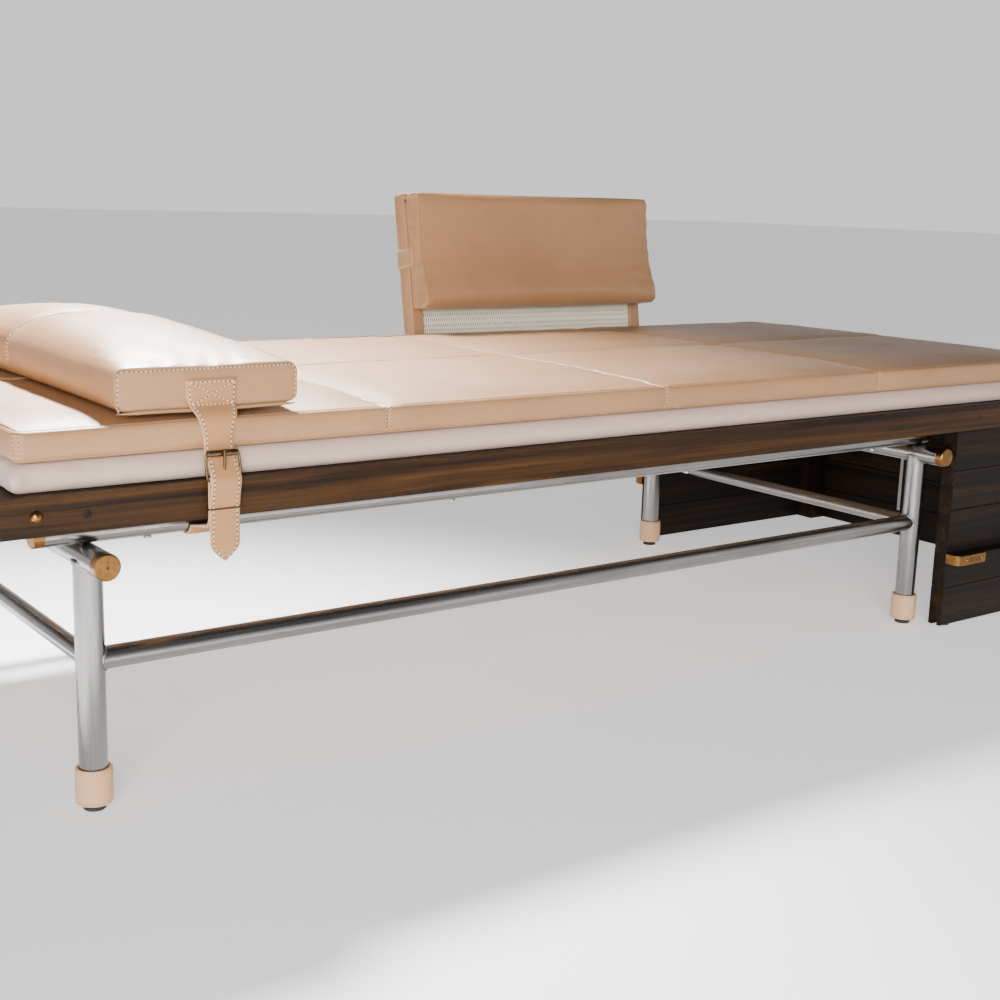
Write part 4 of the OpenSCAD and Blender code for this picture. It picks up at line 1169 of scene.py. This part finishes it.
def wovenPiece():
    width = 2 * (backHalf - stileWidth) - 1.0
    count = int(width / cords["pitch"])
    top, bottom = back["stileLength"] - 4.2, 79.4
    front, rear = 4.9, 28.0
    route = [(rear, z) for z in np.arange(bottom + 2, top - 3, 6.5)]
    route += [(rear, top - 2), (rear - 1.5, top), (rear - 8, top), (front + 2, top), (front, top - 2)]
    route += [(front, z) for z in np.arange(top - 5, bottom + 3, -3.2)]
    route += [(front, bottom + 1), (front + 1.5, bottom - 0.4), (front + 11, bottom - 0.4),
              (rear - 1.5, bottom - 0.4)]
    route = np.array(route)
    lengths = np.concatenate([[0], np.cumsum(np.linalg.norm(np.diff(route, axis=0), axis=1))])
    parts = []
    for n in range(count):
        x = -width / 2 + (n + 0.5) * width / count
        sway = (1 if n % 2 else -1) * cords["sway"] * np.cos(2 * math.pi * lengths / cords["wave"])
        fold = 0.35 * np.sin(4 * math.pi * lengths / cords["wave"] + (n % 2) * math.pi)
        path = np.stack([x + sway, route[:, 0] + fold * (route[:, 0] < front + 1), route[:, 1]], 1)
        parts.append(cordMesh(leaned(path), cords["radius"], 4))
    for z in np.arange(bottom + 5, top - 2, cords["wave"] / 2):
        line = np.linspace(-width / 2 + 1, width / 2 - 1, 90)
        path = np.stack([line, front + 0.9 + 0.3 * np.sin(line), np.full(90, z)], 1)
        parts.append(cordMesh(leaned(path), cords["cross"], 4))
    # A near-black sheet just behind the front cords: painted shade of the panel's hollow
    half = width / 2 - 0.5
    levels = np.linspace(bottom + 2, top - 3, 18)
    skin, faces = boxSkin(np.linspace(-half, half, 30), [front + 1.45, front + 1.9], levels)
    skin[:, 1] += 0.15 * ripple(skin, 60, 51)
    makePiece("weave_shade_sheet", leaned(skin), faces, panelShadeSheet, "backrest", "base_fabric")
    piece = makePiece("woven_cords", *joined(parts), cordFibre, "backrest", "woven_cord")
    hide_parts("woven_panel")


# Leather cuffs on the feet: rolled lips, two rows of stitches and one upright seam
cuff = {"inner": 16.3, "outer": 20.4, "rowInset": 3.6, "pitch": 4.3, "seamTurn": -25.0}


def cuffPieces():
    low, high = boxOf("foot_cuffs")
    z0, z1 = low[2], high[2]
    profile = [(cuff["inner"], z0 + 1.2), (cuff["inner"] + 0.6, z0 + 0.3), (cuff["inner"] + 2, z0)]
    for share in np.linspace(0, 1, 25):
        z = z0 + 0.5 + (z1 - z0 - 1.0) * share
        edge = min(z - z0, z1 - z)
        row = abs(edge - cuff["rowInset"])
        profile.append((cuff["outer"] - 1.6 * math.exp(-edge / 0.9) - 0.45 * math.exp(-(row / 1.1) ** 2), z))
    profile += [(cuff["inner"] + 2, z1), (cuff["inner"] + 0.6, z1 - 0.3), (cuff["inner"], z1 - 1.2)]
    turns, parts, runs = 72, [], []
    for leg in ("leg_front_left", "leg_front_right", "leg_rear_left", "leg_rear_right"):
        a, b = boxOf(leg)
        centre = (a + b) / 2
        start = math.radians(cuff["seamTurn"])
        points, faces = [], []
        for n in range(turns):
            turn = start + 2 * math.pi * n / turns
            gap = min(n, turns - n)
            lap = 0.9 * math.exp(-((n - 2) / 2.2) ** 2) - 0.9 * math.exp(-(gap / 0.8) ** 2)
            wobble = 0.15 * math.sin(3 * turn + centre[0]) + 0.1 * math.sin(7 * turn)
            for r, z in profile:
                bulge = (lap + wobble) * (r > cuff["inner"] + 1)
                wide = r + bulge
                points.append((centre[0] + wide * math.cos(turn), centre[1] + wide * math.sin(turn), z))
        size = len(profile)
        for n in range(turns):
            m = (n + 1) % turns
            for k in range(size):
                j = (k + 1) % size
                faces.append((n * size + k, m * size + k, m * size + j, n * size + j))
        parts.append((np.array(points), faces))
        for z in (z0 + cuff["rowInset"], z1 - cuff["rowInset"]):
            turn = np.linspace(start + 0.05, start + 2 * math.pi - 0.05, 90)
            out = np.stack([np.cos(turn), np.sin(turn), np.zeros(90)], 1)
            run = np.array((centre[0], centre[1], z)) + out * (cuff["outer"] - 0.35)
            runs.append((run, out))
        up = np.linspace(z0 + 5, z1 - 5, 20)
        for off in (-0.13, 0.19):
            out = np.array((math.cos(start + off), math.sin(start + off), 0.0))
            run = np.stack([centre[0] + out[0] * (cuff["outer"] + 0.25) * np.ones(20),
                            centre[1] + out[1] * (cuff["outer"] + 0.25) * np.ones(20), up], 1)
            runs.append((run, np.tile(out, (20, 1))))
    piece = makePiece("cuff_leathers", *joined(parts), cuffLeather, "bed", "cuff_leather")
    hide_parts("foot_cuffs")
    sew("cuff_stitches", runs, cuff["pitch"], 2.8, 0.5, creamThread, "bed", "cuff_leather")


# Weld beads where the tubes of the stand meet
def weldPieces():
    parts = []
    chance = np.random.default_rng(7)

    def bead(path, size=1.7):
        path = np.asarray(path, float)
        radii = size * (1 + 0.16 * np.sin(np.arange(len(path)) * 1.9) + 0.08 * chance.normal(size=len(path)))
        parts.append(cordMesh(path, size, 6, True, radii))

    around = np.linspace(0, 2 * math.pi, 64, endpoint=False)
    cos, sin = np.cos(around), np.sin(around)
    for leg in ("leg_front_left", "leg_front_right", "leg_rear_left", "leg_rear_right"):
        a, b = boxOf(leg)
        cx, cy = (a[0] + b[0]) / 2, (a[1] + b[1]) / 2
        r = (b[0] - a[0]) / 2
        crossLow, crossHigh = boxOf("cross_tube_left")
        cz = (crossLow[2] + crossHigh[2]) / 2
        cr = (crossHigh[2] - crossLow[2]) / 2
        x, y = (r + 0.4) * cos, (r + 0.4) * sin
        bead(np.stack([cx + x, cy + y, cz - np.sqrt(np.maximum(cr ** 2 - x ** 2, 9.0)) - 0.5], 1))
        inwardX = 1 if cx < 0 else -1
        inwardY = 1 if cy < bedY else -1
        low, high = boxOf("stretcher_front")
        sr, sz = (high[2] - low[2]) / 2, (high[2] + low[2]) / 2
        y, z = (sr + 0.4) * cos, (sr + 0.4) * sin
        bow = inwardX * (np.sqrt(r ** 2 - np.minimum(y ** 2, r ** 2 - 9)) + 0.6)
        bead(np.stack([cx + bow, cy + y, sz + z], 1))
        low, high = boxOf("tie_left")
        tr = (high[2] - low[2]) / 2
        x, z = (tr + 0.4) * cos, (tr + 0.4) * sin
        bow = inwardY * (np.sqrt(r ** 2 - np.minimum(x ** 2, r ** 2 - 9)) + 0.6)
        bead(np.stack([cx + x, cy + bow, sz + z], 1))
    makePiece("weld_beads", *joined(parts), weldSteel, "bed", "brushed_tube")


mattressPiece()
basePiece()
print("mattress and base pad laid")
pillowPiece()
strapPieces()
hardwarePieces()
print("pillow strapped down")
backPadPiece()
stilePieces()
rivetPieces()
loopPieces()
wovenPiece()
print("backrest made")
cuffPieces()
weldPieces()
print("feet and welds made")

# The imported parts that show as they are: finish and size of their softened edges
shownParts = {
    "leg_front_left": (steel["z"], 0.3), "leg_front_right": (steel["z"], 0.3),
    "leg_rear_left": (steel["z"], 0.3), "leg_rear_right": (steel["z"], 0.3),
    "cross_tube_left": (steel["y"], 0.3), "cross_tube_right": (steel["y"], 0.3),
    "tie_left": (steel["y"], 0.3), "tie_right": (steel["y"], 0.3),
    "stretcher_front": (steel["x"], 0.3), "stretcher_rear": (steel["x"], 0.3),
    "bearer_front": (steel["x"], 0.3), "bearer_rear": (steel["x"], 0.3),
    "cross_caps": (brass, 0.3), "bearer_caps": (brass, 0.3), "foot_inserts": (zinc, 0.3),
    "foot_front_left": (blackRubber, 0.4), "foot_front_right": (blackRubber, 0.4),
    "foot_rear_left": (blackRubber, 0.4), "foot_rear_right": (blackRubber, 0.4),
    "side_rail_front": (walnut["x"], 1.1), "side_rail_rear": (walnut["x"], 1.1),
    "end_rail_left": (walnut["y"], 1.1), "end_rail_right": (walnut["y"], 1.1),
    "deck_slats": (slatTimber["y"], 1.5), "slat_ledgers": (slatTimber["x"], 1.0),
    "end_shelf": (walnut["y"], 1.2), "rail_plugs": (walnut["y"], 0.3), "wood_screws": (zinc, 0.3),
    "skirt_front": (darkWalnut["x"], 0.5), "skirt_rear": (darkWalnut["x"], 0.5),
    "skirt_end": (darkWalnut["y"], 0.5), "skirt_posts": (darkWalnut["z"], 1.0),
    "skirt_pads": (blackRubber, 0.4), "skirt_strip": (paleTape, 0.3),
    "batten_front": (darkWalnut["x"], 1.0), "batten_rear": (darkWalnut["x"], 1.0),
    "batten_clips": (brass, 0.35), "brass_fixings": (brass, 0.2),
    "roller_front": (antique, 0.5), "roller_rear": (antique, 0.5),
    "prong_front": (antique, 0.2), "prong_rear": (antique, 0.2),
    "back_rails": (walnut["x"], 1.0), "back_sockets": (zinc, 0.5),
}


def dress(node, finish, soften):
    part = nodes[node]
    mesh = part.data
    mesh.materials.clear()
    mesh.materials.append(finish)
    if "custom_normal" in mesh.attributes:
        mesh.attributes.remove(mesh.attributes["custom_normal"])
    mesh.polygons.foreach_set("use_smooth", [True] * len(mesh.polygons))
    weld = part.modifiers.new("weld", "WELD")
    weld.merge_threshold = 0.00002
    bevel = part.modifiers.new("soften", "BEVEL")
    bevel.width = soften * mm
    bevel.segments = 2
    bevel.limit_method = "ANGLE"
    bevel.angle_limit = math.radians(32)
    bevel.harden_normals = True


for node, (finish, soften) in shownParts.items():
    dress(node, finish, soften)
print("packed parts dressed:", len(shownParts))

# Floor, camera and soft studio light
studio = {"floor": (0.86, 0.86, 0.86), "keyWatts": 225.0, "fillWatts": 10.0, "windowWatts": 60.0,
          "horizon": 1.0, "ceiling": 0.16, "glow": 0.58}


def floorPiece():
    made = Finish("pale_floor")
    dust = made.noise(0.6, 3.0, 0.5)
    shade = tuple(c * 0.985 for c in studio["floor"])
    colour = made.blendColour(made.between(dust, 0.3, 0.7), shade, studio["floor"])
    finish = made.done(Base_Color=colour, Roughness=0.85 + dust * 0.05,
                       Emission_Color=(1.0, 1.0, 1.0, 1.0), Emission_Strength=studio["glow"])
    size = 40.0
    mesh = bpy.data.meshes.new("floor")
    corners = [(-size, -size, 0), (size, -size, 0), (size, size, 0), (-size, size, 0)]
    mesh.from_pydata(corners, [], [(0, 1, 2, 3)])
    mesh.materials.append(finish)
    floor = bpy.data.objects.new("floor", mesh)
    bpy.context.scene.collection.objects.link(floor)


def aimed(item, spot, target):
    item.location = spot
    item.rotation_euler = (Vector(target) - Vector(spot)).to_track_quat("-Z", "Y").to_euler()
    bpy.context.scene.collection.objects.link(item)
    return item


def softbox(name, spot, target, watts, size, spread=math.pi):
    lamp = bpy.data.lights.new(name, "AREA")
    lamp.spread = spread
    lamp.energy = watts
    lamp.shape = "RECTANGLE"
    lamp.size, lamp.size_y = size
    aimed(bpy.data.objects.new(name, lamp), spot, target)


view = {
    "spot": (-1.45633, -1.81961, 0.68033), "yaw": 0.63889, "pitch": 0.20731, "roll": 0.029617,
    "lens": 51.757,
}


def cameraPiece():
    data = bpy.data.cameras.new("camera")
    data.lens = view["lens"]
    data.sensor_width = 36.0
    data.clip_end = 200.0
    yaw, pitch, roll = view["yaw"], view["pitch"], view["roll"]
    ahead = Vector((math.sin(yaw) * math.cos(pitch), math.cos(yaw) * math.cos(pitch), -math.sin(pitch)))
    right = Vector((math.cos(yaw), -math.sin(yaw), 0))
    up = right.cross(ahead)
    across = right * math.cos(roll) + up * math.sin(roll)
    upward = up * math.cos(roll) - right * math.sin(roll)
    turn = Matrix((across, upward, -ahead)).transposed()
    camera = bpy.data.objects.new("camera", data)
    camera.matrix_world = Matrix.Translation(view["spot"]) @ turn.to_4x4()
    bpy.context.scene.collection.objects.link(camera)
    bpy.context.scene.camera = camera


floorPiece()
cameraPiece()
softbox("key", (-2.7, -3.5, 1.35), (0, 0, 0.4), studio["keyWatts"], (1.9, 1.9))
softbox("fill", (3.2, -2.6, 1.6), (0.2, 0, 0.4), studio["fillWatts"], (2.4, 2.0))
softbox("window", (0.1, 1.9, 2.9), (-0.85, 0, 0.5), studio["windowWatts"], (0.5, 0.5), 0.75)


# Pale walls that fade to a dimmer ceiling
def roomLight():
    world = bpy.data.worlds.new("studio")
    world.use_nodes = True
    tree = world.node_tree
    place = tree.nodes.new("ShaderNodeTexCoord")
    split = tree.nodes.new("ShaderNodeSeparateXYZ")
    fade = tree.nodes.new("ShaderNodeMapRange")
    fade.interpolation_type = "SMOOTHSTEP"
    for name, value in (("From Min", 0.14), ("From Max", 0.32), ("To Min", studio["horizon"]),
                        ("To Max", studio["ceiling"])):
        fade.inputs[name].default_value = value
    glow = tree.nodes["Background"]
    glow.inputs[0].default_value = (1.0, 1.0, 1.0, 1.0)
    tree.links.new(place.outputs["Generated"], split.inputs[0])
    tree.links.new(split.outputs[2], fade.inputs[0])
    tree.links.new(fade.outputs[0], glow.inputs[1])
    bpy.context.scene.world = world


roomLight()
print("studio lit")
